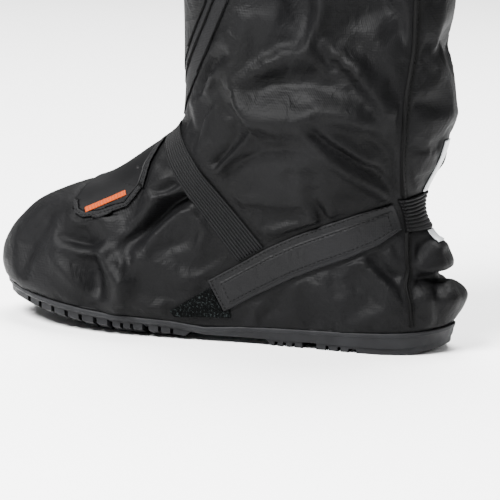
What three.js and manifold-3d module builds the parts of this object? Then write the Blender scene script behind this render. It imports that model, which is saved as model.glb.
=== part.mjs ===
// Waterproof overshoe for the left foot: a loose boot of coated nylon on a moulded rubber sole.
// It is pulled over a shoe, then gathered at the ankle by two elastics and a closing strap.
// Millimetres. +X runs to the toe, +Y to the outer side of the foot and +Z up.
// The origin is on the floor, under the heel.

import * as THREE from "three";
import { mergeVertices } from "three/addons/utils/BufferGeometryUtils.js";
import Module from "manifold-3d";

const wasm = await Module();
wasm.setup();

// Sizes of the foot and the shaft
const heelReach = 44; // origin to the back end of the sole
const toeReach = 268; // origin to the tip of the sole
const ballWidth = 108; // widest part of the sole
const toeSwing = 8; // how far the toe tip lies to the inner side
const footRise = 101; // sole rim to the row where foot turns into shaft
const collarHeight = 330; // floor to the top edge
const shaftFront = 145; // origin to the shin
const shaftBack = 34.5; // origin to the back of the shaft
const shaftWidth = 122; // side to side at the collar
const fabricWall = 1.2; // coated nylon with its taped lining

// Sizes of the sole
const heelWall = 13.5; // floor to the rim beside the heel
const toeSpring = 13; // lift of the tread at the tip
const sideLift = 5.2; // how far the sides of the forefoot curve up
const heelBevel = 6; // lift of the tread at the back end
const treadDepth = 4.2; // height of the lugs
const soleSheet = 3.6; // rubber between lugs and foot
const rimWidth = 4.6; // top of the side wall, which carries the fabric
const wallDraft = 1.6; // how much the side wall leans in towards the tread
const lipHeight = 3; // thicker band along the top of the side wall
const lipDrop = 0.6; // its chamfers, and how far it stands out
const sipeReach = 9; // how far the small notches of the tread run in from its side

// Sizes of the trims that lie on the fabric
const elasticThickness = 1.5; // ribbed elastic over the instep and round the ankle
const strapThickness = 2; // fabric strap on the outer side
const strapHem = 2.6; // thinner folded edge round the strap
const strapHemThickness = 1.4;
const loopThickness = 1.3; // soft half of the touch fastener
const guardThickness = 1; // smooth guard over the toes
const bindingWidth = 3; // rolled edge of the guard
const bindingThickness = 1.5;
const barThickness = 0.7; // bright bar on the guard
const seamWidth = 3.2; // taped seams beside the back panel
const seamThickness = 0.9;
const flapStep = 0.6; // each layer of the front flap stands this much higher than the last
const reflectorWidth = 12; // light tape down the back
const reflectorThickness = 0.7;
const hemHeight = 26; // folded top hem
const hemThickness = 1;
const meeting = 0.35; // clearance between pieces that touch

// Fineness of the meshes
const turnsRound = 44;
const soleTurns = 44;

const ballHalf = ballWidth / 2;
const soleLength = heelReach + toeReach;
const clampTo = THREE.MathUtils.clamp;
const mix = THREE.MathUtils.lerp;

// A smooth curve through the rows of a table, read at any place of its first column.
function smoothTable(rows, placeColumn, column) {
  const place = rows.map((row) => row[placeColumn]);
  const value = rows.map((row) => row[column]);
  const slope = value.map((v, i) => {
    const before = Math.max(i - 1, 0);
    const after = Math.min(i + 1, value.length - 1);
    return (value[after] - value[before]) / (place[after] - place[before]);
  });
  return (x) => {
    const at = clampTo(x, place[0], place[place.length - 1]);
    let i = 0;
    while (i < place.length - 2 && at > place[i + 1]) i++;
    const span = place[i + 1] - place[i];
    const t = (at - place[i]) / span;
    const ease = t * t * (3 - 2 * t);
    return (
      mix(value[i], value[i + 1], ease) +
      span * (slope[i] * t * (1 - t) ** 2 - slope[i + 1] * t * t * (1 - t))
    );
  };
}

// Plan outline of the sole. station: share of the sole from heel to toe.
// outer, inner: half widths as shares of half the ball width.
const OUTLINE = [
  { station: 0.0, outer: 0.0, inner: 0.0 },
  { station: 0.05, outer: 0.53, inner: 0.53 },
  { station: 0.13, outer: 0.71, inner: 0.7 },
  { station: 0.3, outer: 0.72, inner: 0.67 },
  { station: 0.45, outer: 0.78, inner: 0.66 },
  { station: 0.6, outer: 0.92, inner: 0.86 },
  { station: 0.73, outer: 1.0, inner: 1.0 },
  { station: 0.85, outer: 0.9, inner: 0.95 },
  { station: 0.94, outer: 0.62, inner: 0.7 },
  { station: 1.0, outer: 0.0, inner: 0.0 },
];
// Squares of the half widths are what is smoothed, so that both ends come out round.
const squared = OUTLINE.map((row) => ({
  station: row.station,
  outer: row.outer ** 2,
  inner: row.inner ** 2,
}));
const outerSquare = smoothTable(squared, "station", "outer");
const innerSquare = smoothTable(squared, "station", "inner");

function outlineHalf(station, outerSide) {
  const square = (outerSide ? outerSquare : innerSquare)(station);
  return ballHalf * Math.sqrt(Math.max(square, 0));
}

// The forefoot swings to the inner side.
function footLine(x) {
  const share = clampTo((x - 0.3 * toeReach) / (0.7 * toeReach), 0, 1.1);
  return -toeSwing * share * share;
}

// Height of the tread surface over the floor: flat, with toe spring and a bevelled heel.
const springStart = 0.57 * toeReach;
const bevelStart = -0.2 * heelReach;
function treadLine(x) {
  if (x > springStart) return toeSpring * ((x - springStart) / (toeReach - springStart)) ** 1.6;
  if (x < bevelStart) return heelBevel * ((bevelStart - x) / (heelReach + bevelStart)) ** 2;
  return 0;
}

// How far the sides of the sole have curved up, as a share of sideLift: only in the forefoot.
const forefootShare = (x) => clampTo((x / toeReach - 0.4) / 0.14, 0, 1);
const sideCurve = (x) => sideLift * forefootShare(x) ** 2 * (3 - 2 * forefootShare(x));

// Height of the side wall over the tread, as a share of the wall beside the heel.
const SIDE_WALL = [
  { station: 0.0, height: 0.88 },
  { station: 0.08, height: 1.06 },
  { station: 0.18, height: 1.0 },
  { station: 0.3, height: 0.91 },
  { station: 0.42, height: 0.84 },
  { station: 0.55, height: 0.62 },
  { station: 0.75, height: 0.6 },
  { station: 1.0, height: 0.6 },
];
const wallShare = smoothTable(SIDE_WALL, "station", "height");
const stationOf = (x) => (x + heelReach) / soleLength;
const rimLine = (x) => treadLine(x) + sideCurve(x) + heelWall * wallShare(stationOf(x));

// A geometry from points and triangles.
function meshOf(points, triangles) {
  const geometry = new THREE.BufferGeometry();
  const flat = points.flatMap((p) => [p.x, p.y, p.z]);
  geometry.setAttribute("position", new THREE.Float32BufferAttribute(flat, 3));
  geometry.setIndex(triangles);
  return geometry;
}

// A solid for joining and cutting.
function solidOf(geometry) {
  const bare = geometry.clone();
  bare.deleteAttribute("normal");
  bare.deleteAttribute("uv");
  const merged = mergeVertices(bare, 1e-4);
  return new wasm.Manifold(
    new wasm.Mesh({
      numProp: 3,
      vertProperties: merged.attributes.position.array,
      triVerts: new Uint32Array(merged.index.array),
    }),
  );
}

function geometryOf(solid) {
  const mesh = solid.getMesh();
  const geometry = new THREE.BufferGeometry();
  geometry.setAttribute("position", new THREE.BufferAttribute(mesh.vertProperties, 3));
  geometry.setIndex(new THREE.BufferAttribute(mesh.triVerts, 1));
  return geometry;
}

// A closed sheet with thickness. pointAt(i, j, side) gives its outer face (side 1) and its
// inner face (side 0) on a grid of rows i and columns j; a ring closes its columns on themselves.
function sheet(rowCount, columnCount, ring, pointAt) {
  const points = [];
  const index = (i, j, side) => ((ring ? j % columnCount : j) * rowCount + i) * 2 + side;
  for (let j = 0; j < columnCount; j++)
    for (let i = 0; i < rowCount; i++) points.push(pointAt(i, j, 0), pointAt(i, j, 1));
  const triangles = [];
  const quad = (a, b, c, d) => triangles.push(a, b, c, a, c, d);
  const lastColumn = ring ? columnCount : columnCount - 1;
  for (let j = 0; j < lastColumn; j++) {
    for (let i = 0; i < rowCount - 1; i++) {
      quad(index(i, j, 1), index(i, j + 1, 1), index(i + 1, j + 1, 1), index(i + 1, j, 1));
      quad(index(i, j, 0), index(i + 1, j, 0), index(i + 1, j + 1, 0), index(i, j + 1, 0));
    }
    const top = rowCount - 1;
    quad(index(0, j, 0), index(0, j + 1, 0), index(0, j + 1, 1), index(0, j, 1));
    quad(index(top, j, 1), index(top, j + 1, 1), index(top, j + 1, 0), index(top, j, 0));
  }
  if (!ring)
    for (let i = 0; i < rowCount - 1; i++) {
      const end = columnCount - 1;
      quad(index(i, 0, 0), index(i, 0, 1), index(i + 1, 0, 1), index(i + 1, 0, 0));
      quad(index(i, end, 1), index(i, end, 0), index(i + 1, end, 0), index(i + 1, end, 1));
    }
  return meshOf(points, triangles);
}

// Sections of the foot, from the sole rim up. Lengths are shares of the named sizes:
// back of heelReach, front of toeReach, rises of footRise, outer and inner of half the ball width.
// widest: share of the section, from its back, where it is widest. noseRound, heelRound: exponents.
// rimShare: how far the section still follows the sole's rim. soleShape: how far its plan is the sole's.
const FOOT_ROWS = [
  // the edge that stands on the rim
  { back: 0.965, front: 0.994, backRise: 0.0, frontRise: 0.0, outer: 0.985, inner: 0.985,
    widest: 0.7, noseRound: 2.2, heelRound: 2.2, rimShare: 1.0, soleShape: 1.0 },
  // fabric swelling over the edge of the sole
  { back: 1.02, front: 1.01, backRise: 0.045, frontRise: 0.058, outer: 1.01, inner: 1.01,
    widest: 0.7, noseRound: 2.2, heelRound: 2.2, rimShare: 1.0, soleShape: 1.0 },
  { back: 1.05, front: 1.012, backRise: 0.146, frontRise: 0.142, outer: 1.02, inner: 1.02,
    widest: 0.69, noseRound: 2.3, heelRound: 2.2, rimShare: 0.8, soleShape: 0.95 },
  { back: 1.02, front: 1.01, backRise: 0.218, frontRise: 0.24, outer: 1.0, inner: 1.0,
    widest: 0.67, noseRound: 2.4, heelRound: 2.2, rimShare: 0.6, soleShape: 0.85 },
  { back: 0.93, front: 1.0, backRise: 0.277, frontRise: 0.345, outer: 0.98, inner: 0.98,
    widest: 0.65, noseRound: 2.5, heelRound: 2.2, rimShare: 0.4, soleShape: 0.7 },
  // the gather under the lower heel fold
  { back: 0.81, front: 0.985, backRise: 0.335, frontRise: 0.43, outer: 0.95, inner: 0.95,
    widest: 0.62, noseRound: 2.6, heelRound: 2.2, rimShare: 0.2, soleShape: 0.55 },
  { back: 0.76, front: 0.966, backRise: 0.372, frontRise: 0.51, outer: 0.92, inner: 0.92,
    widest: 0.59, noseRound: 2.7, heelRound: 2.2, rimShare: 0.0, soleShape: 0.4 },
  // the upper heel fold hangs over it
  { back: 0.87, front: 0.938, backRise: 0.43, frontRise: 0.585, outer: 0.88, inner: 0.88,
    widest: 0.55, noseRound: 2.8, heelRound: 2.2, rimShare: 0.0, soleShape: 0.25 },
  { back: 0.8, front: 0.906, backRise: 0.495, frontRise: 0.652, outer: 0.84, inner: 0.84,
    widest: 0.51, noseRound: 2.8, heelRound: 2.2, rimShare: 0.0, soleShape: 0.1 },
  { back: 0.7, front: 0.855, backRise: 0.583, frontRise: 0.722, outer: 0.82, inner: 0.82,
    widest: 0.48, noseRound: 2.7, heelRound: 2.2, rimShare: 0.0, soleShape: 0.0 },
  // the ankle elastic draws the back in
  { back: 0.5, front: 0.795, backRise: 0.68, frontRise: 0.785, outer: 0.83, inner: 0.83,
    widest: 0.46, noseRound: 2.6, heelRound: 2.2, rimShare: 0.0, soleShape: 0.0 },
  { back: 0.44, front: 0.73, backRise: 0.786, frontRise: 0.83, outer: 0.86, inner: 0.86,
    widest: 0.45, noseRound: 2.5, heelRound: 2.2, rimShare: 0.0, soleShape: 0.0 },
  { back: 0.49, front: 0.668, backRise: 0.893, frontRise: 0.935, outer: 0.91, inner: 0.91,
    widest: 0.45, noseRound: 2.4, heelRound: 2.2, rimShare: 0.0, soleShape: 0.0 },
  { back: 0.62, front: 0.61, backRise: 1.0, frontRise: 1.055, outer: 0.98, inner: 0.98,
    widest: 0.46, noseRound: 2.3, heelRound: 2.2, rimShare: 0.0, soleShape: 0.0 },
];

const footTop = heelWall + footRise;
const shaftRise = collarHeight - footTop;
const hemShare = 1 - hemHeight / shaftRise;

// Sections of the shaft. back is a share of shaftBack, front of shaftFront, outer and inner of half
// the shaft's width, and the rises are shares of the height from the foot's last row to the collar.
const SHAFT_ROWS = [
  { back: 0.94, front: 0.993, backRise: 0.05, frontRise: 0.083, outer: 0.93, inner: 0.93 },
  { back: 1.045, front: 0.971, backRise: 0.115, frontRise: 0.13, outer: 0.96, inner: 0.96 },
  { back: 1.06, front: 0.964, backRise: 0.197, frontRise: 0.197, outer: 0.97, inner: 0.97 },
  { back: 1.03, front: 0.964, backRise: 0.312, frontRise: 0.312, outer: 0.96, inner: 0.96 },
  { back: 1.0, front: 0.968, backRise: 0.427, frontRise: 0.427, outer: 0.96, inner: 0.96 },
  { back: 0.985, front: 0.982, backRise: 0.564, frontRise: 0.564, outer: 0.97, inner: 0.97 },
  { back: 0.95, front: 1.0, backRise: 0.748, frontRise: 0.748, outer: 0.99, inner: 0.99 },
  { back: 0.91, front: 1.02, backRise: hemShare, frontRise: hemShare, outer: 1.0, inner: 1.0 },
  { back: 0.9, front: 1.03, backRise: 1.0, frontRise: 1.0, outer: 1.0, inner: 1.0 },
];

// Both tables as one list of real sizes, numbered by row.
const SECTIONS = [
  ...FOOT_ROWS.map((row) => ({
    ...row,
    back: -row.back * heelReach,
    front: row.front * toeReach,
    backRise: row.backRise * footRise,
    frontRise: row.frontRise * footRise,
    outer: row.outer * ballHalf,
    inner: row.inner * ballHalf,
  })),
  ...SHAFT_ROWS.map((row) => ({
    back: -row.back * shaftBack,
    front: row.front * shaftFront,
    backRise: footRise + row.backRise * shaftRise,
    frontRise: footRise + row.frontRise * shaftRise,
    outer: (row.outer * shaftWidth) / 2,
    inner: (row.inner * shaftWidth) / 2,
    widest: 0.5,
    noseRound: 2.2,
    heelRound: 2.2,
    rimShare: 0,
    soleShape: 0,
  })),
].map((row, number) => ({ ...row, number }));
const lastRow = SECTIONS.length - 1;
const sectionCurve = Object.fromEntries(
  Object.keys(SECTIONS[0]).map((column) => [column, smoothTable(SECTIONS, "number", column)]),
);

// Half width of a section at a share of its length, blended from a rounded oval and the sole's plan.
function halfWidth(section, share, outerSide) {
  const half = outerSide ? section.outer : section.inner;
  const ahead = share > section.widest;
  const reach = ahead ? 1 - section.widest : section.widest;
  const power = ahead ? section.noseRound : section.heelRound;
  const away = Math.min(Math.abs(share - section.widest) / reach, 1);
  const oval = half * (1 - away ** power) ** (1 / power);
  const plan = (half / ballHalf) * outlineHalf(share, outerSide);
  return mix(oval, plan, section.soleShape);
}

// One section as points spread evenly round it: first the outer side from front to back,
// then the inner side from back to front.
const ringCache = new Map();
const sideSamples = 48;
function sideOfRing(section, outerSide) {
  const points = [];
  for (let i = 0; i <= sideSamples; i++) {
    const share = (1 + Math.cos((Math.PI * i) / sideSamples)) / 2;
    const x = mix(section.back, section.front, share);
    const y = footLine(x) + (outerSide ? 1 : -1) * halfWidth(section, share, outerSide);
    const ground = mix(rimLine(0), rimLine(x), section.rimShare);
    const z = ground + meeting * section.rimShare + mix(section.backRise, section.frontRise, share);
    points.push(new THREE.Vector3(x, y, z));
  }
  // Even steps along the curve, softened towards even angles so that toe and heel stay round.
  const lengths = [0];
  for (let i = 1; i <= sideSamples; i++)
    lengths.push(lengths[i - 1] + points[i].distanceTo(points[i - 1]));
  const total = lengths[sideSamples];
  const spread = lengths.map((s, i) => mix(s / total, i / sideSamples, 0.4));
  return { points, spread };
}

function ringAt(row) {
  const key = row.toFixed(4);
  if (!ringCache.has(key)) {
    const section = {};
    for (const column in sectionCurve) section[column] = sectionCurve[column](row);
    ringCache.set(key, [sideOfRing(section, true), sideOfRing(section, false)]);
  }
  return ringCache.get(key);
}

// A point of the smooth upper before its folds. turn: 0 at the front, 0.25 outer side,
// 0.5 at the back, 0.75 inner side. row: number of the section, with fractions between rows.
function plainPoint(turn, row) {
  const around = turn - Math.floor(turn);
  const outerSide = around <= 0.5;
  const share = outerSide ? around * 2 : (1 - around) * 2;
  const { points, spread } = ringAt(clampTo(row, 0, lastRow))[outerSide ? 0 : 1];
  let i = 0;
  while (i < spread.length - 2 && share > spread[i + 1]) i++;
  const t = (share - spread[i]) / (spread[i + 1] - spread[i]);
  return points[i].clone().lerp(points[i + 1], t);
}

// How the surface runs at a place: millimetres per turn, per row, and its outward direction.
function surfaceFrame(pointAt, turn, row) {
  const stepTurn = 0.006;
  const stepRow = 0.12;
  const low = clampTo(row - stepRow, 0, lastRow);
  const high = clampTo(row + stepRow, 0, lastRow);
  const perTurn = pointAt(turn + stepTurn, row)
    .sub(pointAt(turn - stepTurn, row))
    .divideScalar(2 * stepTurn);
  const perRow = pointAt(turn, high)
    .sub(pointAt(turn, low))
    .divideScalar(high - low);
  const outward = perTurn.clone().cross(perRow).normalize();
  return { perTurn, perRow, outward };
}

// Main folds of the cloth, each a soft ridge (height over 0) or trough along a line in side view.
// along: shares of toeReach. up: shares of footTop. side: 1 outer, -1 inner side of the foot.
// breadth and height: shares of fabricGather, the slack that the elastics draw together.
const fabricGather = 20;
const FOLDS = [
  // across the shaft, from the shin down to the ankle
  { side: 1, along: 0.13, up: 1.76, toAlong: -0.05, toUp: 1.4, breadth: 0.35, height: 0.16 },
  { side: 1, along: 0.14, up: 1.62, toAlong: 0.0, toUp: 1.36, breadth: 0.4, height: -0.12 },
  { side: 1, along: 0.24, up: 1.8, toAlong: 0.33, toUp: 1.55, breadth: 0.4, height: -0.12 },
  { side: 1, along: 0.37, up: 1.5, toAlong: 0.15, toUp: 1.4, breadth: 0.5, height: 0.14 },
  { side: 1, along: 0.2, up: 1.34, toAlong: 0.0, toUp: 1.05, breadth: 0.4, height: -0.12 },
  // fanning out from the instep elastic
  { side: 1, along: 0.42, up: 0.95, toAlong: 0.3, toUp: 1.2, breadth: 0.3, height: 0.14 },
  { side: 1, along: 0.5, up: 0.78, toAlong: 0.63, toUp: 0.48, breadth: 0.35, height: -0.14 },
  { side: 1, along: 0.58, up: 0.8, toAlong: 0.72, toUp: 0.45, breadth: 0.4, height: 0.1 },
  { side: 1, along: 0.78, up: 0.46, toAlong: 0.68, toUp: 0.27, breadth: 0.3, height: -0.1 },
  // the same slack on the inner side
  { side: -1, along: 0.2, up: 1.9, toAlong: 0.02, toUp: 1.45, breadth: 0.4, height: 0.15 },
  { side: -1, along: 0.36, up: 1.6, toAlong: 0.12, toUp: 1.3, breadth: 0.45, height: -0.12 },
  { side: -1, along: 0.4, up: 0.9, toAlong: 0.62, toUp: 0.55, breadth: 0.4, height: -0.12 },
];

function foldHeight(point) {
  const side = Math.sign(point.y);
  // Folds of the two sides die out towards the middle of the shin and of the heel.
  const fade = clampTo(Math.abs(point.y) / fabricGather, 0, 1);
  let height = 0;
  for (const fold of FOLDS) {
    if (fold.side !== side) continue;
    const from = new THREE.Vector2(fold.along * toeReach, fold.up * footTop);
    const run = new THREE.Vector2(fold.toAlong * toeReach, fold.toUp * footTop).sub(from);
    const offset = new THREE.Vector2(point.x, point.z).sub(from);
    const share = clampTo(offset.dot(run) / run.lengthSq(), 0, 1);
    const away = offset.addScaledVector(run, -share).length() / (fold.breadth * fabricGather);
    const swell = Math.sin(Math.PI * (0.15 + 0.7 * share));
    height += fold.height * fabricGather * fade * swell * Math.exp(-away * away);
  }
  return height;
}

function shellPoint(turn, row, hem) {
  const point = plainPoint(turn, row);
  const { outward } = surfaceFrame(plainPoint, turn, row);
  return point.addScaledVector(outward, foldHeight(point) + hem);
}

// Rings of the upper, one for each section.
// The hem at the top is a step in the wall.
const hemRow = lastRow - 1;
const hemRamp = 0.06;
const levels = [];
for (let row = 0; row <= hemRow; row++) levels.push({ row, hem: 0 });
levels.push({ row: hemRow + hemRamp, hem: hemThickness }, { row: lastRow, hem: hemThickness });
const grid = levels.map(({ row, hem }) => {
  const ring = [];
  for (let j = 0; j < turnsRound; j++) ring.push(shellPoint(j / turnsRound, row, hem));
  return ring;
});

// Outward direction at each corner of that grid.
const gridOut = grid.map((ring, i) =>
  ring.map((_, j) => {
    const up = grid[Math.min(i + 1, grid.length - 1)][j];
    const down = grid[Math.max(i - 1, 0)][j];
    const next = ring[(j + 1) % turnsRound];
    const last = ring[(j + turnsRound - 1) % turnsRound];
    return next.clone().sub(last).cross(up.clone().sub(down)).normalize();
  }),
);

// A skin that follows the outside of the upper, between two distances from it.
// Its two edges stay level, on the rim and at the collar.
function skin(from, to) {
  return sheet(grid.length, turnsRound, true, (i, j, side) => {
    const away = side ? to : from;
    const point = grid[i][j].clone().addScaledVector(gridOut[i][j], away);
    if (i === 0 || i === grid.length - 1) point.z = grid[i][j].z;
    return point;
  });
}

// The fabric of foot and shaft in one piece, open at the collar and underneath.
function upperGeometry() {
  return sheet(grid.length, turnsRound, true, (i, j, side) => {
    const away = side ? 0 : -fabricWall - levels[i].hem;
    const point = grid[i][j].clone().addScaledVector(gridOut[i][j], away);
    if (i === 0 || i === grid.length - 1) point.z = grid[i][j].z;
    return point;
  });
}

// A body in the plan of the sole, from rings of two numbers: how far a ring keeps inside the outline,
// and its height at x. Each ring is a whole turn, and ladders of strips close the two ends.
function soleBody(rings) {
  const points = [];
  for (const ring of rings)
    for (let j = 0; j < soleTurns; j++) {
      const angle = (2 * Math.PI * j) / soleTurns;
      const side = j < soleTurns / 2 ? 1 : -1;
      const along = Math.cos(angle);
      const x = (toeReach - heelReach) / 2 + along * (soleLength / 2 - ring.inset);
      const outline = outlineHalf((1 + along) / 2, side > 0);
      const half = outline - ring.inset * (1 - along ** 6);
      const y = footLine(x) + side * Math.max(half, 0);
      points.push(new THREE.Vector3(x, y, ring.height(x)));
    }
  const triangles = [];
  const quad = (a, b, c, d) => triangles.push(a, b, c, a, c, d);
  for (let r = 0; r < rings.length - 1; r++)
    for (let j = 0; j < soleTurns; j++) {
      const next = (j + 1) % soleTurns;
      quad(r * soleTurns + j, r * soleTurns + next,
        (r + 1) * soleTurns + next, (r + 1) * soleTurns + j);
    }
  const top = (rings.length - 1) * soleTurns;
  for (let j = 0; j < soleTurns / 2; j++) {
    const far = (soleTurns - j) % soleTurns;
    const farNext = soleTurns - j - 1;
    quad(j, far, farNext, j + 1);
    quad(top + j, top + j + 1, top + farNext, top + far);
  }
  return solidOf(meshOf(points, triangles));
}

// A prism through the boot, from an outline in side view given as x and z in turn.
function sidePrism(outline, yFrom, yTo) {
  const shape = new THREE.Shape(outline.map((p) => new THREE.Vector2(p.x, p.z)));
  const prism = new THREE.ExtrudeGeometry(shape, { depth: yTo - yFrom, bevelEnabled: false });
  prism.rotateX(Math.PI / 2);
  prism.translate(0, yTo, 0);
  return solidOf(prism);
}

// Grooves of the tread, from heel to toe. at and breadth: shares of toeReach.
// depth: share of treadDepth. across: 1 for a groove from side to side, less for a notch.
const GROOVES = [
  { at: 0.052, breadth: 0.02, depth: 0.6, across: 1 },
  { at: 0.085, breadth: 0.008, depth: 0.7, across: 0 },
  { at: 0.115, breadth: 0.008, depth: 0.7, across: 0 },
  { at: 0.16, breadth: 0.036, depth: 0.95, across: 1 },
  { at: 0.2, breadth: 0.008, depth: 0.7, across: 0 },
  { at: 0.222, breadth: 0.008, depth: 0.7, across: 0 },
  { at: 0.243, breadth: 0.008, depth: 0.7, across: 0 },
  { at: 0.5, breadth: 0.008, depth: 0.7, across: 0 },
  { at: 0.53, breadth: 0.008, depth: 0.7, across: 0 },
  { at: 0.565, breadth: 0.016, depth: 0.95, across: 1 },
  { at: 0.6, breadth: 0.008, depth: 0.7, across: 0 },
  { at: 0.625, breadth: 0.008, depth: 0.7, across: 0 },
  { at: 0.655, breadth: 0.014, depth: 0.95, across: 1 },
  { at: 0.695, breadth: 0.01, depth: 0.9, across: 1 },
  { at: 0.735, breadth: 0.01, depth: 0.9, across: 1 },
  { at: 0.775, breadth: 0.01, depth: 0.9, across: 1 },
  { at: 0.815, breadth: 0.01, depth: 0.9, across: 1 },
  { at: 0.855, breadth: 0.01, depth: 0.9, across: 1 },
  { at: 0.893, breadth: 0.01, depth: 0.9, across: 1 },
];
// The arch carries no lugs.
const archFrom = 0.262; // share of toeReach
const archTo = 0.47; // share of toeReach
const archSlope = 0.045; // share of toeReach that its ends slope over

// The outsole: a cup of rubber with a raised rim, standing on lugs.
function outsoleSolid() {
  const footbed = (x) => Math.min(treadLine(x) + treadDepth + soleSheet, rimLine(x) - 1.2);
  const edge = (x) => treadLine(x) + sideCurve(x);
  const middle = 14; // flat middle of the underside begins this far inside the outline
  let solid = soleBody([
    { inset: middle, height: (x) => treadLine(x) + treadDepth },
    { inset: wallDraft, height: (x) => edge(x) + treadDepth },
    { inset: lipDrop, height: (x) => rimLine(x) - lipHeight },
    { inset: 0, height: (x) => rimLine(x) - lipHeight + lipDrop },
    { inset: 0, height: (x) => rimLine(x) - lipDrop },
    { inset: lipDrop, height: (x) => rimLine(x) },
    { inset: rimWidth, height: (x) => rimLine(x) },
    { inset: rimWidth + 0.8, height: (x) => footbed(x) },
  ]);
  const sink = 1;
  let tread = soleBody([
    { inset: middle + 0.7, height: (x) => treadLine(x) },
    { inset: wallDraft + 1.1, height: (x) => edge(x) },
    { inset: wallDraft + 0.7, height: (x) => edge(x) + treadDepth + sink },
    { inset: middle + 1.4, height: (x) => treadLine(x) + treadDepth + sink },
  ]);
  const below = -sink;
  const beyond = 4;
  for (const groove of GROOVES) {
    const x = groove.at * toeReach;
    const roof = treadLine(x) + sideCurve(x) + treadDepth * groove.depth;
    const outer = footLine(x) + outlineHalf(stationOf(x), true);
    const inner = footLine(x) - outlineHalf(stationOf(x), false);
    const spans = groove.across
      ? [[inner - beyond, outer + beyond]]
      : [[outer - sipeReach, outer + beyond], [inner - beyond, inner + sipeReach]];
    for (const [from, to] of spans) {
      const box = new THREE.BoxGeometry(groove.breadth * toeReach, to - from, roof - below);
      box.translate(x, (from + to) / 2, (roof + below) / 2);
      tread = tread.subtract(solidOf(box));
    }
  }
  const slope = archSlope * toeReach;
  const arch = [
    { x: archFrom * toeReach - 0.3 * slope, z: below },
    { x: archTo * toeReach + 0.3 * slope, z: below },
    { x: archTo * toeReach - slope, z: 3 * treadDepth },
    { x: archFrom * toeReach + slope, z: 3 * treadDepth },
  ];
  tread = tread.subtract(sidePrism(arch, -ballWidth, ballWidth));
  return solid.add(tread);
}

// Outlines of the trims in side view, as points of two shares: along of toeReach, up of footTop.
const OUTLINES = {
  strap: [
    { along: 0.409, up: 0.356 }, { along: 0.341, up: 0.458 }, { along: 0.27, up: 0.562 },
    { along: 0.199, up: 0.648 }, { along: 0.132, up: 0.715 }, { along: 0.044, up: 0.798 },
    { along: -0.026, up: 0.852 }, { along: -0.046, up: 0.7 }, { along: 0.002, up: 0.613 },
    { along: 0.064, up: 0.541 }, { along: 0.136, up: 0.474 }, { along: 0.203, up: 0.4 },
    { along: 0.286, up: 0.299 }, { along: 0.369, up: 0.182 },
  ],
  loop: [
    { along: 0.501, up: 0.168 }, { along: 0.409, up: 0.31 }, { along: 0.36, up: 0.3 },
    { along: 0.352, up: 0.15 }, { along: 0.489, up: 0.138 },
  ],
  // over the instep: down to the strap on the outer side, to the sole on the inner side
  instepOuter: [
    { along: 0.551, up: 1.11 }, { along: 0.68, up: 1.44 }, { along: 0.66, up: 1.52 },
    { along: 0.523, up: 1.175 }, { along: 0.413, up: 1.007 }, { along: 0.345, up: 0.796 },
    { along: 0.277, up: 0.584 }, { along: 0.265, up: 0.4 }, { along: 0.331, up: 0.477 },
  ],
  instepInner: [
    { along: 0.551, up: 1.11 }, { along: 0.68, up: 1.44 }, { along: 0.66, up: 1.52 },
    { along: 0.523, up: 1.175 }, { along: 0.413, up: 1.007 }, { along: 0.277, up: 0.63 }, { along: 0.165, up: 0.22 },
    { along: 0.26, up: 0.2 }, { along: 0.36, up: 0.54 },
  ],
  ankle: [
    { along: -0.036, up: 0.872 }, { along: -0.063, up: 0.894 }, { along: -0.2, up: 0.9 },
    { along: -0.2, up: 0.685 }, { along: -0.082, up: 0.685 }, { along: -0.056, up: 0.682 },
  ],
  guard: [
    { along: 0.566, up: 1.12 }, { along: 0.583, up: 0.99 }, { along: 0.59, up: 0.86 },
    { along: 0.628, up: 0.74 }, { along: 0.698, up: 0.677 }, { along: 0.745, up: 0.656 },
    { along: 0.77, up: 0.672 }, { along: 0.782, up: 0.73 }, { along: 0.762, up: 0.832 },
    { along: 0.735, up: 0.93 }, { along: 0.66, up: 1.3 },
  ],
  // the front edge of the guard, which is turned under instead of bound
  guardFront: [
    { along: 0.7, up: 0.74 }, { along: 0.86, up: 0.74 },
    { along: 0.86, up: 1.3 }, { along: 0.64, up: 1.3 },
  ],
  bar: [
    { along: 0.737, up: 0.668 }, { along: 0.743, up: 0.7 },
    { along: 0.637, up: 0.82 }, { along: 0.63, up: 0.79 },
  ],
  // three layers of the flap, each cut further forward
  flapFacing: [
    { along: 0.53, up: 1.23 }, { along: 0.505, up: 1.326 }, { along: 0.455, up: 1.53 },
    { along: 0.411, up: 1.729 }, { along: 0.366, up: 1.95 }, { along: 0.3, up: 2.63 },
    { along: 0.34, up: 2.63 }, { along: 0.406, up: 1.95 }, { along: 0.434, up: 1.812 },
    { along: 0.494, up: 1.552 }, { along: 0.56, up: 1.27 }, { along: 0.56, up: 1.23 },
  ],
  flapBinding: [
    { along: 0.56, up: 1.27 }, { along: 0.494, up: 1.552 }, { along: 0.434, up: 1.812 },
    { along: 0.406, up: 1.95 }, { along: 0.34, up: 2.63 },
    { along: 0.365, up: 2.63 }, { along: 0.43, up: 1.925 }, { along: 0.489, up: 1.663 },
    { along: 0.56, up: 1.35 },
  ],
  flap: [
    { along: 0.56, up: 1.35 }, { along: 0.489, up: 1.663 }, { along: 0.43, up: 1.925 },
    { along: 0.365, up: 2.63 }, { along: 0.7, up: 2.63 }, { along: 0.7, up: 1.35 },
  ],
};

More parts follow.
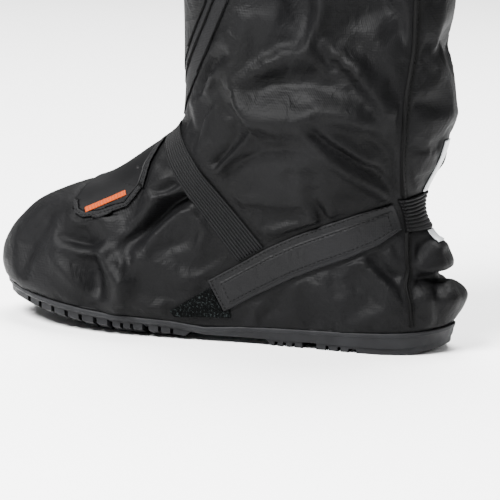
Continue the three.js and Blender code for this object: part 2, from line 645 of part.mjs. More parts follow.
// Side-view outline in millimetres, moved outwards by a distance (inwards if under 0).
function outlineOf(name, outwards = 0) {
  const points = OUTLINES[name].map((p) => ({ x: p.along * toeReach, z: p.up * footTop }));
  const turning = points.reduce((sum, p, i) => {
    const q = points[(i + 1) % points.length];
    return sum + p.x * q.z - q.x * p.z;
  }, 0);
  return points.map((point, i) => {
    const before = points[(i + points.length - 1) % points.length];
    const after = points[(i + 1) % points.length];
    const into = new THREE.Vector2(point.x - before.x, point.z - before.z).normalize();
    const out = new THREE.Vector2(after.x - point.x, after.z - point.z).normalize();
    const away = new THREE.Vector2(into.y + out.y, -into.x - out.x).normalize();
    const stretch = outwards / Math.max(away.x * out.y - away.y * out.x, 0.4);
    away.multiplyScalar(Math.sign(turning) * stretch);
    return { x: point.x + away.x, z: point.z + away.y };
  });
}

const farOuter = ballWidth;
const farInner = -ballWidth;
const outerPrism = (name, outwards) => sidePrism(outlineOf(name, outwards), 0, farOuter);
const wholePrism = (name, outwards) => sidePrism(outlineOf(name, outwards), farInner, farOuter);
const layer = (thickness, raised = 0) =>
  solidOf(skin(meeting + raised, meeting + raised + thickness));

const strapGap = outerPrism("strap", meeting);
const ankleGap = wholePrism("ankle", meeting);

const strap = layer(strapHemThickness)
  .intersect(outerPrism("strap"))
  .add(layer(strapThickness - meeting, meeting).intersect(outerPrism("strap", -strapHem)));
const loopPatch = layer(loopThickness).intersect(outerPrism("loop")).subtract(strapGap);
const instepElastic = layer(elasticThickness)
  .intersect(
    sidePrism(outlineOf("instepOuter"), -meeting, farOuter)
      .add(sidePrism(outlineOf("instepInner"), farInner, 0)),
  )
  .subtract(strapGap);
const ankleElastic = layer(elasticThickness)
  .intersect(wholePrism("ankle"))
  .subtract(strapGap);
const guard = layer(guardThickness).intersect(
  wholePrism("guard", -bindingWidth - meeting)
    .add(wholePrism("guard").intersect(wholePrism("guardFront"))),
);
const guardBinding = layer(bindingThickness)
  .intersect(wholePrism("guard"))
  .subtract(wholePrism("guard", -bindingWidth))
  .subtract(wholePrism("guardFront", meeting));
const bar = layer(barThickness, guardThickness + meeting)
  .intersect(outerPrism("bar"))
  .intersect(outerPrism("guard", -bindingWidth - meeting));

// The flap wraps the shin from its outer edge to the same line on the inner side.
const shinSide = -12; // its facing and binding run past the middle of the shin to here
const flapPart = (name, layers, yFrom) =>
  layer(layers * flapStep).intersect(sidePrism(outlineOf(name, -meeting / 2), yFrom, farOuter));

// Seams beside the back panel, on both sides, as lines of the same two shares.
const SEAM = [
  { along: -0.089, up: 0.165 }, { along: -0.085, up: 0.296 }, { along: -0.068, up: 0.4 },
  { along: -0.07, up: 0.48 }, { along: -0.061, up: 0.667 }, { along: -0.05, up: 0.899 },
  { along: -0.063, up: 1.23 }, { along: -0.066, up: 1.473 }, { along: -0.077, up: 1.724 },
  { along: -0.077, up: 1.987 }, { along: -0.077, up: 2.63 },
];
function seamSolid(side) {
  const half = seamWidth / 2;
  const line = SEAM.map((p) => ({ x: p.along * toeReach, z: p.up * footTop }));
  const outline = [
    ...line.map((p) => ({ x: p.x - half, z: p.z })),
    ...line.map((p) => ({ x: p.x + half, z: p.z })).reverse(),
  ];
  const band = side > 0 ? sidePrism(outline, 0, farOuter) : sidePrism(outline, farInner, 0);
  return layer(seamThickness).intersect(band).subtract(ankleGap).subtract(strapGap);
}

// Light tape down the middle of the back, interrupted by the ankle elastic.
const tapeTop = 1.2; // share of footTop
const tapeFoot = 0.62; // share of footTop
const tapeBox = new THREE.BoxGeometry(heelReach, reflectorWidth, (tapeTop - tapeFoot) * footTop);
tapeBox.translate(-heelReach * 0.85, 0, ((tapeTop + tapeFoot) / 2) * footTop);
const tape = layer(reflectorThickness).intersect(solidOf(tapeBox)).subtract(ankleGap);

const group = new THREE.Group();
function add(name, geometry, colour, roughness) {
  const material = new THREE.MeshStandardMaterial({ color: colour, roughness, metalness: 0 });
  const mesh = new THREE.Mesh(geometry, material);
  mesh.name = name;
  group.add(mesh);
}
// A solid that other pieces cut in two becomes two pieces, the lower one first.
function addParts(names, solid, colour, roughness) {
  const parts = solid.decompose();
  const height = (part) => part.boundingBox().max[2];
  parts.sort((a, b) => height(a) - height(b));
  if (parts.length !== names.length) throw new Error(`${names[0]} falls into ${parts.length}`);
  parts.forEach((part, i) => add(names[i], geometryOf(part), colour, roughness));
}

const black = 0x26272a;
const nylon = 0x303134;
const rubber = 0x3c3e40;
add("upper", upperGeometry(), nylon, 0.5);
addParts(["outsole"], outsoleSolid(), rubber, 0.7);
addParts(["strap"], strap, nylon, 0.55);
addParts(["loop_patch"], loopPatch, 0x131415, 0.95);
addParts(["instep_elastic"], instepElastic, black, 0.8);
addParts(["ankle_elastic"], ankleElastic, black, 0.8);
addParts(["toe_guard"], guard, black, 0.45);
addParts(["toe_guard_binding"], guardBinding, black, 0.7);
addParts(["toe_bar"], bar, 0xf08058, 0.5);
addParts(["flap_facing"], flapPart("flapFacing", 1, shinSide), black, 0.6);
addParts(["flap_binding"], flapPart("flapBinding", 2, shinSide), black, 0.6);
addParts(["front_flap"], flapPart("flap", 3, farInner), nylon, 0.5);
addParts(["seam_outer_heel", "seam_outer_shaft"], seamSolid(1), black, 0.7);
addParts(["seam_inner_heel", "seam_inner_shaft"], seamSolid(-1), black, 0.7);
addParts(["back_tape_low", "back_tape_high"], tape, 0x9a9c9e, 0.35);

export default group;
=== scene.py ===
# Waterproof overshoe for the left foot: a bag of black coated nylon on a moulded rubber sole,
# gathered by two elastics and a closing strap, standing empty on a pale floor.
# Metres, in the frame of the CAD. +X runs to the toe, +Y to the outer side of the foot, +Z up.

import math

import bmesh
import bpy
import numpy as np
from mathutils import Matrix, Vector, noise
from mathutils.bvhtree import BVHTree
from mathutils.kdtree import KDTree


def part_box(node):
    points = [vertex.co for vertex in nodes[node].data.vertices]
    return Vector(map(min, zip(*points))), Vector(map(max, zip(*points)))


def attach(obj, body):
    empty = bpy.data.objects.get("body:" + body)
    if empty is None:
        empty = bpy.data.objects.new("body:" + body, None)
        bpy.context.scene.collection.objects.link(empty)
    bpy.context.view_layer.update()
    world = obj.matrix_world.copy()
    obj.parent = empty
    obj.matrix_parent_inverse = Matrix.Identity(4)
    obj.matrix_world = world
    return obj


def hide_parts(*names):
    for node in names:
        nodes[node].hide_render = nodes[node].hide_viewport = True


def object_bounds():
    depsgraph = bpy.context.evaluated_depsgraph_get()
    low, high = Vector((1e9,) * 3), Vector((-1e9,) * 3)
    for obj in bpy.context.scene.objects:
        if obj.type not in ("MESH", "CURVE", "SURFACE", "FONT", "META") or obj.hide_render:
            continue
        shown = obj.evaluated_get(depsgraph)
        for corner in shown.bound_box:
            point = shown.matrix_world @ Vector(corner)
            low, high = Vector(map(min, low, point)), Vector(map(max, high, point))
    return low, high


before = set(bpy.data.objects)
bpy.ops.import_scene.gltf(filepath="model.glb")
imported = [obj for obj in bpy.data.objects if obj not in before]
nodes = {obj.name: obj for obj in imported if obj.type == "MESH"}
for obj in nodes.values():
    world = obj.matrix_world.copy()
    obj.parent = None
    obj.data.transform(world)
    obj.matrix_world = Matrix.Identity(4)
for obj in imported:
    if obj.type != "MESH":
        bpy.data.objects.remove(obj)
cad_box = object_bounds()
MM = 0.001

# The camera stands on the outer side, a little behind the boot and above it. It is far away with
# a long lens, and is rolled slightly as in the photograph.
camera_place = Vector((-0.50633, 1.88964, 0.41582))
camera_look = Vector((0.29886, -0.93733, -0.17916)).normalized()
camera_side = camera_look.cross(Vector((0.07836, -0.16300, 0.98351))).normalized()
camera_data = bpy.data.cameras.new("camera")
camera_data.sensor_width = 36
camera_data.lens = 220.3
camera = bpy.data.objects.new("camera", camera_data)
turned = Matrix((camera_side, camera_side.cross(camera_look), -camera_look)).transposed()
camera.matrix_world = Matrix.Translation(camera_place) @ turned.to_4x4()
bpy.context.scene.collection.objects.link(camera)
bpy.context.scene.camera = camera

# The studio: a pale floor that runs out of view, a bright room, and three soft boxes.
# The largest hangs above and behind the boot, one stands high on the outer side towards the toe,
# and a weak one stands behind the heel.
FLOOR_HALF = 6
floor_mesh = bmesh.new()
bmesh.ops.create_grid(floor_mesh, x_segments=2, y_segments=2, size=FLOOR_HALF)
floor_data = bpy.data.meshes.new("floor")
floor_mesh.to_mesh(floor_data)
floor = bpy.data.objects.new("floor", floor_data)
bpy.context.scene.collection.objects.link(floor)
paint = bpy.data.materials.new("pale_floor")
paint.use_nodes = True
paint_shader = paint.node_tree.nodes["Principled BSDF"]
paint_shader.inputs["Base Color"].default_value = (0.86, 0.86, 0.86, 1)
paint_shader.inputs["Roughness"].default_value = 0.9
floor_data.materials.append(paint)

room = bpy.data.worlds.new("room")
room.use_nodes = True
room.node_tree.nodes["Background"].inputs["Color"].default_value = (1, 1, 1, 1)
room.node_tree.nodes["Background"].inputs["Strength"].default_value = 0.22
bpy.context.scene.world = room

SOFT_BOXES = [
    # place, size, watts
    ((0.2, -1.1, 2.6), 2.0, 330),
    ((0.75, 1.35, 1.85), 1.0, 300),
    ((-1.6, 0.4, 1.0), 0.5, 10),
]
LIT_PLACE = Vector((0.1, 0, 0.12))
for number, (place, size, watts) in enumerate(SOFT_BOXES):
    light_data = bpy.data.lights.new(f"soft_box_{number}", "AREA")
    light_data.shape = "SQUARE"
    light_data.size = size
    light_data.energy = watts
    light = bpy.data.objects.new(f"soft_box_{number}", light_data)
    aim = (LIT_PLACE - Vector(place)).to_track_quat("-Z", "Y")
    light.matrix_world = Matrix.Translation(place) @ aim.to_matrix().to_4x4()
    bpy.context.scene.collection.objects.link(light)

# The upper is one bag of nylon coated on the inside, cut large so that a shoe fits into it.
# It is glued to the sole's rim and drawn in by the elastics, so all its slack lies in folds.
SAME_PLACE = 0.001 * MM
shell = bmesh.new()
shell.from_mesh(nodes["upper"].data)
bmesh.ops.remove_doubles(shell, verts=shell.verts, dist=SAME_PLACE)
bmesh.ops.join_triangles(
    shell, faces=shell.faces, angle_face_threshold=math.pi, angle_shape_threshold=math.pi
)
# The narrow faces of the collar and of the foot edge part the outer wall from the inner one.
hold = shell.edges.layers.float.new("crease_edge")
outside = shell.verts.layers.float.new("outside")
CUT_EDGE_WIDTH, NEARLY_LEVEL = 2.5 * MM, 0.8
cut_edges = {
    face
    for face in shell.faces
    if abs(face.normal.z) > NEARLY_LEVEL
    and min(edge.calc_length() for edge in face.edges) < CUT_EDGE_WIDTH
}
for edge in shell.edges:
    if sum(face in cut_edges for face in edge.link_faces) == 1:
        edge[hold] = 1
waiting = [max(shell.faces, key=lambda face: face.calc_center_median().y)]
outer_wall = set(waiting)
while waiting:
    for edge in waiting.pop().edges:
        for face in edge.link_faces:
            if face not in outer_wall and face not in cut_edges:
                outer_wall.add(face)
                waiting.append(face)
for face in outer_wall:
    for vert in face.verts:
        vert[outside] = 1


def as_object(name, mesh_maker):
    """A new object from a bmesh, smooth shaded."""
    data = bpy.data.meshes.new(name)
    mesh_maker.to_mesh(data)
    mesh_maker.free()
    data.polygons.foreach_set("use_smooth", [True] * len(data.polygons))
    made = bpy.data.objects.new(name, data)
    bpy.context.scene.collection.objects.link(made)
    return made


def finished(made):
    """The object's mesh with its modifiers applied."""
    state = made.evaluated_get(bpy.context.evaluated_depsgraph_get())
    mesh = bpy.data.meshes.new_from_object(state)
    made.modifiers.clear()
    made.data = mesh
    return mesh


fabric = as_object("fabric", shell)
rounding = fabric.modifiers.new("rounding", "SUBSURF")
rounding.levels = rounding.render_levels = 2
finished(fabric)

# The outer wall gets four times as many faces, for its creases. A coarser copy of it is kept
# for the cloth run further down.
ON_THE_WALL = 0.99
fine = bmesh.new()
fine.from_mesh(fabric.data)
sheet = fine.copy()
outside = sheet.verts.layers.float["outside"]
inner_wall = [vert for vert in sheet.verts if vert[outside] < ON_THE_WALL]
bmesh.ops.delete(sheet, geom=inner_wall, context="VERTS")
outside = fine.verts.layers.float["outside"]
wall = [f for f in fine.faces if all(vert[outside] > ON_THE_WALL for vert in f.verts)]
bmesh.ops.subdivide_edges(
    fine, edges=list({e for f in wall for e in f.edges}), cuts=1, use_grid_fill=True
)
bmesh.ops.triangulate(fine, faces=[f for f in fine.faces if len(f.verts) > 4])
fine.to_mesh(fabric.data)
fine.free()


def places(mesh):
    """Places of a mesh's corners, as rows of x, y and z."""
    flat = np.empty(len(mesh.vertices) * 3)
    mesh.vertices.foreach_get("co", flat)
    return flat.reshape(-1, 3)


def directions(mesh):
    """Outward directions at a mesh's corners."""
    flat = np.empty(len(mesh.vertices) * 3)
    mesh.vertex_normals.foreach_get("vector", flat)
    return flat.reshape(-1, 3)


def put(mesh, at):
    """A mesh's corners moved to new places."""
    mesh.vertices.foreach_set("co", at.ravel())
    mesh.update()


SMOOTH_AND_BACK = (0.5, -0.52)


def eased(at, mesh, rounds, free):
    """Corners drawn to the middle of their neighbours, as far as free says for each. A step back
    after each step keeps the whole from shrinking."""
    pairs = np.empty(len(mesh.edges) * 2, int)
    mesh.edges.foreach_get("vertices", pairs)
    a, b = pairs.reshape(-1, 2).T
    count = len(at)
    ways = np.bincount(a, minlength=count) + np.bincount(b, minlength=count)
    for _ in range(rounds):
        for amount in SMOOTH_AND_BACK:
            total = np.stack(
                [
                    np.bincount(a, at[b, axis], count) + np.bincount(b, at[a, axis], count)
                    for axis in range(3)
                ],
                axis=1,
            )
            at = at + (total / ways[:, None] - at) * amount * free[:, None]
    return at


marks = np.empty(len(fabric.data.vertices))
fabric.data.attributes["outside"].data.foreach_get("value", marks)
is_outside = marks > 0.5
at = places(fabric.data)
low, high = at[:, 2].min(), at[:, 2].max()
shell_edges = np.zeros(len(at), bool)
for edge in fabric.data.edges:
    a, b = edge.vertices
    if is_outside[a] != is_outside[b]:
        shell_edges[[a, b]] = True
put(fabric.data, eased(at, fabric.data, 3, (~shell_edges).astype(float)))

# Creases of the outer side and of the inner side, listed in millimetres of the side view.
# Each one is (left, right, line): how softly it fades to the left and the right hand of its way,
# and a line of (x, z, height), where a ridge stands out and a trough, under 0, goes in.
OUTER_CREASES = [
    # the shaft over the ankle: long slack folds from the shin to the back seam
    (5, 5, [(34, 245, 0), (35, 226, 3), (38, 214, 3.5), (43, 204, 2)]),
    (26, 6, [(54, 300, -1), (51, 262, -6), (49, 240, -8), (47, 226, -8), (46, 213, -6),
             (48, 206, -2)]),
    (5, 3, [(40, 205, -1), (55, 202, -3.2), (65, 197, -3.2), (73, 191, -2.5), (84, 180, -1)]),
    (6, 7, [(36, 198, 3), (55, 195, 4), (68, 188, 4), (79, 179, 3), (88, 170, 1)]),
    (8, 5, [(90, 169, -2), (71, 175, -4), (54, 178, -4.5), (40, 180, -4.5), (28, 175, -4),
            (14, 168, -2.5)]),
    (4, 3, [(37, 204, -2), (30, 193, -4), (20, 185, -4), (11, 174, -3.5), (4, 163, -2.5),
            (-2, 153, -1)]),
    (4, 8, [(31, 199, 3), (23, 193, 5), (13, 185, 6), (4, 173, 5.5), (-4, 162, 4),
            (-12, 150, 2)]),
    (8, 5, [(26, 206, -1), (14, 202, -2.5), (4, 193, -3), (-3, 183, -3), (-10, 173, -2.5),
            (-17, 162, -1.5)]),
    (6, 15, [(86, 160, 4), (76, 151, 7), (62, 149, 7.5), (47, 150, 6.5), (35, 158, 5),
             (21, 156, 6), (9, 151, 5.5), (0, 153, 2)]),
    (3, 3, [(52, 163, 0), (46, 165, -1.8), (40, 166, -1.8), (31, 170, 0)]),
    (4, 2.5, [(42, 152, 0), (38, 147, -3), (28, 138, -4), (18, 131, -4), (10, 125, -3.5),
              (1, 120, -3), (-5, 111, -2.5), (-7, 103, -1.5)]),
    (4, 6, [(46, 149, 1), (34, 135, 4), (24, 126, 5), (13, 118, 5), (4, 110, 4), (-4, 101, 2)]),
    (4, 3, [(36, 152, 1), (24, 141, 2.5), (13, 133, 2.5), (4, 126, 1.5)]),
    (6, 4, [(18, 149, -1), (4, 144, -2), (-6, 134, -2.5), (-11, 119, -2.5), (-12, 104, -1)]),
    (22, 4, [(-2, 300, -1), (-4, 262, -4), (-5, 232, -5.5), (-10, 222, -5), (-14, 212, -4),
             (-20, 202, -1)]),
    (5, 5, [(-12, 230, 2), (-17, 217, 2), (-21, 209, 1)]),
    (3.5, 3, [(95, 190, -1), (104, 186, -5), (112, 180, -6), (117, 173, -6), (122, 165, -4),
              (127, 158, 0)]),
    (5, 4, [(94, 183, 1.5), (102, 180, 3), (109, 174, 3), (113, 166, 1)]),
    (4, 5, [(90, 170, 2), (84, 160, 3), (78, 151, 3.5), (74, 141, 1)]),
    (6, 7, [(102, 156, -1), (94, 150, -3), (92, 138, -3.5), (98, 126, -2)]),
    (2.5, 3, [(107, 157, 0.5), (112, 148, 3), (115, 138, 3), (116, 126, 1.5)]),
    (3, 3, [(110, 109, -5), (106, 118, -5), (100, 127, -2), (96, 134, 0)]),
    (2.2, 2.5, [(109, 109, 3), (101, 117, 3.5), (92, 127, 3.5), (83, 137, 3), (78, 144, 0.5)]),
    (4, 4, [(96, 113, -2.5), (86, 122, -2.5), (74, 129, -2), (58, 133, -1.5), (44, 131, 0)]),
    (4, 5, [(60, 121, 0), (50, 124, 1.5), (40, 124, 1.5), (33, 119, 0)]),
    (3, 3, [(48, 120, 0), (44, 120, -1.8), (38, 118, -1.8), (34, 115, 0)]),
    (2.5, 2.5, [(59, 121, 0), (55, 116, -1.6), (52, 111, 0)]),
    (4, 4, [(48, 110, 0), (41, 108, -2), (36, 104, 0)]),
    (5, 4, [(47, 112, 1), (46, 100, 1.8), (41, 90, 2), (37, 80, 1.5)]),
    (3, 2.5, [(44, 104, 0), (39, 99, -1.8), (36, 92, -3), (34, 83, -3.5)]),
    (3, 4, [(33, 106, 0), (30, 96, 1.8), (30, 84, 1.5)]),
    (5, 5, [(103, 92, 1), (88, 96, 1.5), (70, 98, 1.5), (50, 99, 0)]),
    (5, 4, [(105, 98, -2), (101, 90, -3), (96, 80, -2)]),
    (2.5, 2.5, [(92, 80, 0), (90, 75, -1.5), (87, 69, 0)]),
    (5, 3, [(78, 74, 0), (68, 77, 2), (54, 82, 2.5), (42, 87, 2), (34, 89, 0)]),
    (3, 3, [(66, 67, 0), (58, 72, -3), (48, 77, -3), (36, 83, -1.5)]),
    # the heel, below the strap
    (3, 4, [(13, 63, 1), (9, 59, 2.5), (1, 51, 3), (-9, 42, 2.5), (-19, 34, 1)]),
    (3, 4, [(9, 66, -1), (1, 59, -2.5), (-6, 52, -2.5), (-14, 48, -2), (-20, 47, -1)]),
    (5, 5, [(24, 60, 0.5), (18, 58, 2), (12, 53, 1)]),
    (3, 4, [(22, 51, 0), (14, 45, -1.5), (2, 37, -1.5), (-8, 31, 0)]),
    (5, 4, [(52, 50, 0), (40, 42, 1.2), (24, 34, 1.2), (8, 31, 0)]),
    (2.5, 3, [(88, 11, -1), (85, 17, -2), (81, 27, 0)]),
    (2.5, 3, [(76, 12, -1), (72, 19, -2), (63, 29, 0)]),
    (3.5, 3.5, [(82, 12, 1), (79, 20, 1.5), (75, 29, 0)]),
    # the toe, in front of the instep elastic
    (3.5, 3.5, [(119, 97, -5), (124, 95, -7), (137, 88, -7), (147, 78, -6.5), (156, 69, -5),
                (164, 61, -3.5), (168, 53, -1.5)]),
    (6, 5, [(127, 101, 1.5), (137, 96, 3), (148, 88, 3.5), (158, 79, 2.5), (166, 71, 0)]),
    (3, 7, [(121, 88, 1.5), (128, 85, 3), (138, 76, 4), (147, 65, 4), (155, 54, 3),
            (161, 45, 1)]),
    (2.5, 2.5, [(127, 106, -3), (132, 104, -4), (141, 97, -3.5), (150, 91, 0)]),
    (3, 3, [(133, 108, 1), (141, 104, 2.5), (151, 98, 1.5), (158, 92, 0)]),
    (3, 3, [(177, 60, 0), (174, 56, -2.5), (171, 49, -3.5), (167, 44, -3.5), (163, 43, -3),
            (160, 49, -1)]),
    (4, 8, [(218, 60, 0), (213, 61, -4), (202, 60, -6), (186, 61, -6), (172, 62, -3)]),
    (4, 5, [(214, 72, 0), (200, 74, 3), (186, 74, 3), (170, 74, 0)]),
    (3, 3, [(215, 56, 1), (205, 56, 2.5), (195, 54, 2.5), (182, 55, 1.5)]),
    (13, 6, [(191, 57, -2), (188, 50, -6), (186, 40, -8), (185, 30, -7), (184, 21, -3)]),
    (5, 10, [(220, 50, 1), (208, 41, 3), (197, 32, 3.5), (188, 24, 2)]),
    (9, 5, [(172, 57, 1.5), (167, 47, 5.5), (165, 38, 7), (167, 26, 4)]),
    (4, 4, [(152, 58, -0.5), (144, 60, -2), (134, 62, -2), (124, 67, -2), (116, 73, -1)]),
    (4, 4, [(117, 90, 1), (115, 80, 2), (114, 70, 2), (116, 58, 0.5)]),
    (5, 5, [(160, 22, 0), (150, 21, 1.8), (140, 20, 2), (131, 15, 0)]),
    (6, 6, [(252, 55, -0.5), (240, 55, -1.5), (226, 58, -1.5), (214, 62, 0)]),
    (5, 5, [(140, 46, 0), (128, 42, 1.5), (112, 42, 1), (100, 40, 0)]),
    # the top of the shaft
    (7, 6, [(60, 318, 0), (50, 290, 2), (42, 262, 2.5), (36, 240, 1.5)]),
    (8, 7, [(90, 312, 0), (80, 286, -2), (72, 258, -2.5), (60, 232, -1)]),
    (6, 7, [(5, 314, 0), (8, 290, 2), (2, 265, 2.5), (-8, 240, 1.5)]),
    (8, 8, [(22, 300, 0), (16, 272, -2.5), (6, 246, -2.5), (-2, 226, -1)]),
]
INNER_CREASES = [
    (6, 5, [(96, 226, 1), (80, 212, 3), (60, 202, 3.5), (40, 196, 3), (20, 198, 1)]),
    (4, 4, [(100, 212, -2), (82, 202, -4), (62, 192, -4), (42, 186, -3), (22, 188, -1)]),
    (5, 4, [(110, 190, 1), (96, 178, 3), (78, 170, 3.5), (56, 168, 3), (34, 172, 1.5)]),
    (4, 5, [(104, 172, -2), (88, 162, -3.5), (68, 156, -3.5), (46, 158, -2.5), (26, 164, -1)]),
    (5, 5, [(20, 222, 1), (10, 202, 3), (2, 182, 3), (-6, 160, 2), (-14, 142, 1)]),
    (4, 5, [(30, 210, -1), (20, 190, -3.5), (12, 170, -3.5), (2, 150, -2.5), (-6, 132, -1)]),
    (4, 4, [(112, 152, -2), (96, 144, -3.5), (76, 142, -3.5), (54, 146, -2)]),
    (5, 5, [(100, 134, 1.5), (82, 132, 3), (62, 134, 3), (40, 142, 1)]),
    (3.5, 4, [(104, 118, -3), (88, 120, -3), (70, 124, -2.5), (48, 130, -1)]),
    (4, 3, [(40, 138, -1), (26, 128, -3.5), (12, 118, -3.5), (0, 106, -2.5), (-8, 96, -1)]),
    (4, 5, [(44, 130, 1), (30, 119, 3), (14, 108, 3), (2, 96, 2)]),
    (5, 5, [(60, 104, 0), (44, 100, 2), (26, 92, 2), (8, 84, 0.5)]),
    (4, 4, [(54, 94, 0), (38, 88, -2.5), (20, 80, -2.5), (4, 74, -1)]),
    (4, 4, [(30, 66, 0), (16, 58, 2.5), (2, 48, 2.5), (-12, 40, 1)]),
    (3.5, 4, [(26, 74, 0), (12, 66, -2.5), (-4, 57, -2.5), (-16, 51, -1)]),
    (4, 4, [(36, 50, 0), (22, 42, -2), (6, 34, -2), (-8, 29, 0)]),
    (3.5, 3.5, [(120, 98, -4), (132, 90, -6), (144, 80, -6), (154, 68, -4.5), (162, 56, -2)]),
    (6, 5, [(128, 104, 1), (140, 98, 3), (152, 90, 3), (162, 80, 1)]),
    (4, 6, [(112, 88, 1), (126, 82, 3), (138, 72, 3.5), (146, 58, 2.5), (152, 46, 1)]),
    (4, 4, [(104, 74, -2), (118, 70, -3), (130, 60, -3), (138, 48, -1.5)]),
    (4, 5, [(218, 62, 0), (206, 63, -3), (190, 65, -3.5), (174, 68, -2)]),
    (5, 5, [(216, 50, -1), (204, 46, -3), (194, 38, -3.5), (188, 28, -2)]),
    (5, 5, [(190, 54, 1), (182, 46, 3), (178, 34, 3), (176, 24, 1.5)]),
    (4, 4, [(172, 52, -1), (166, 42, -2.5), (164, 32, -2), (166, 24, -1)]),
    (5, 5, [(152, 40, 0), (140, 34, 2), (126, 32, 1.5), (112, 28, 0)]),
    (3, 3, [(96, 12, -1), (92, 20, -2), (86, 30, 0)]),
    (3, 3, [(70, 12, -1), (66, 20, -2), (58, 30, 0)]),
    (7, 6, [(70, 316, 0), (62, 288, 2), (52, 260, 2.5), (46, 236, 1.5)]),
    (8, 8, [(92, 306, 0), (84, 280, -2.5), (78, 252, -2.5), (80, 232, -1)]),
    (7, 7, [(14, 312, 0), (18, 286, 2), (10, 258, 2.5), (4, 236, 1)]),
    (8, 8, [(36, 304, 0), (34, 276, -2.5), (28, 248, -2), (26, 230, -1)]),
]

# Folds that run round the back of the heel, from one seam to the other.
HEEL_CREASES = [
    (3, 3, [(-14, 48, 0), (-20, 48.7, -2), (-30, 49.5, -3.4), (-50, 51, -3.4)]),
    (4, 4, [(-18, 54, 0), (-28, 55.5, 2.4), (-50, 58, 2.8)]),
    (5, 6, [(-22, 40, 0), (-32, 37, 2), (-50, 33, 2.2)]),
    (3, 3, [(-21, 60, -1), (-25, 70, -3), (-28, 76, -1)]),
    (3, 3, [(-29, 74, 0), (-32, 66, 2.5), (-34, 57, 1)]),
    (2.5, 2, [(-33, 47, -1.5), (-36, 40, -3.5), (-38, 30, -2.5), (-38, 22, -1)]),
    (2.5, 3, [(-38, 45, 1), (-42, 36, 2), (-44, 27, 1)]),
    (4, 5, [(-20, 118, 0), (-30, 120, 1.4), (-50, 122, 1.6)]),
    (4, 5, [(-20, 132, 0), (-30, 134, -1.6), (-50, 136, -1.8)]),
    (5, 6, [(-20, 150, 0), (-30, 152, 1.2), (-50, 156, 1)]),
]

# The cloth run below eases the creases, so they start deeper by CREASE_DEPTH.
CREASE_DEPTH = 1.5
CREASE_FALL = 1.6


def crease_height(x, z, creases, spread, ridge_share):
    """How far some creases move places of the side view outwards, in metres. spread makes them
    broader, and ridge_share lowers their ridges."""
    height = np.zeros(len(x))
    for left, right, line in creases:
        line = np.array(line) * MM
        best = np.full(len(x), np.inf)
        value = np.zeros(len(x))
        for start, end in zip(line, line[1:]):
            run = end[:2] - start[:2]
            dx, dz = x - start[0], z - start[1]
            share = np.clip((dx * run[0] + dz * run[1]) / (run @ run), 0, 1)
            away_x, away_z = dx - share * run[0], dz - share * run[1]
            away = np.hypot(away_x, away_z)
            on_left = run[0] * away_z - run[1] * away_x > 0
            breadth = (np.where(on_left, left, right) + spread) * MM
            fall = np.exp(-((away / breadth) ** CREASE_FALL))
            here = (start[2] + (end[2] - start[2]) * share) * fall
            nearer = away < best
            best = np.where(nearer, away, best)
            value = np.where(nearer, here, value)
        height += np.where(value > 0, ridge_share * value, value)
    return CREASE_DEPTH * height


# Under the trims the fabric is held smooth.
TRIMS = [name for name in nodes if name not in ("upper", "outsole", "back_tape_low")]
trim_trees = []
for name in TRIMS:
    trim = bmesh.new()
    trim.from_mesh(nodes[name].data)
    trim_trees.append(BVHTree.FromBMesh(trim))
    trim.free()
HELD_WITHIN, FREE_BEYOND = 2.2 * MM, 4.5 * MM


def freedom(at):
    """0 under a trim, 1 in the open fabric."""
    free = np.ones(len(at))
    for tree in trim_trees:
        for i, place in enumerate(at):
            near = tree.find_nearest(Vector(place), FREE_BEYOND)
            if near[0] is not None:
                part = (near[3] - HELD_WITHIN) / (FREE_BEYOND - HELD_WITHIN)
                free[i] = min(free[i], max(part, 0.0))
    return free * free * (3 - 2 * free)


at = places(fabric.data)
out = directions(fabric.data) * np.where(is_outside, 1, -1)[:, None]
free = freedom(at)
free[shell_edges] = 0
# The inner wall follows the outer one with broader troughs and half the ridges. The creases of
# the two sides fade out towards the middle of the boot, and those of the heel run round it.
WALLS = ((is_outside, 0, 1), (~is_outside, 1.5, 0.5))
MIDDLE_FADE = 14 * MM
height = np.zeros(len(at))
for creases, side in ((OUTER_CREASES, at[:, 1] > 0), (INNER_CREASES, at[:, 1] <= 0)):
    for wall, spread, ridge_share in WALLS:
        pick = side & wall
        height[pick] = crease_height(at[pick, 0], at[pick, 2], creases, spread, ridge_share)
height *= np.clip(np.abs(at[:, 1]) / MIDDLE_FADE, 0, 1)
for wall, spread, ridge_share in WALLS:
    height[wall] += crease_height(at[wall, 0], at[wall, 2], HEEL_CREASES, spread, ridge_share)
# Soft unevenness everywhere, as on cloth that has been packed flat. It and the creases fade out
# towards the sole and the collar's hem.
UNEVENNESS = 0.3 * MM
SOLE_FADE, COLLAR_HEM, COLLAR_FADE = 10 * MM, 24 * MM, 20 * MM
uneven = np.array(
    [
        5 * abs(noise.noise(Vector(p) * 30)) + abs(noise.noise(Vector(p) * 75 + Vector((3, 1, 2))))
        for p in at
    ]
)
near_sole = np.clip((at[:, 2] - low) / SOLE_FADE, 0, 1)
near_collar = np.clip((high - COLLAR_HEM - at[:, 2]) / COLLAR_FADE, 0.1, 1)
height = (height + UNEVENNESS * (uneven - 1)) * free * near_collar * near_sole
creased = at + out * height[:, None]

# The bag is cut larger than its place, by the share CLOTH_GROWTH. The coarser sheet is creased
# in the same way, and is held at its rims and under the trims while a short cloth run makes it
# grow by that share, so it buckles.
CLOTH_GROWTH, CLOTH_STEPS = 0.028, 20
MOST_MOVED = 12 * MM


def tree_of_places(at):
    """A tree that finds the nearest of some places."""
    tree = KDTree(len(at))
    for i, place in enumerate(at):
        tree.insert(place, i)
    tree.balance()
    return tree


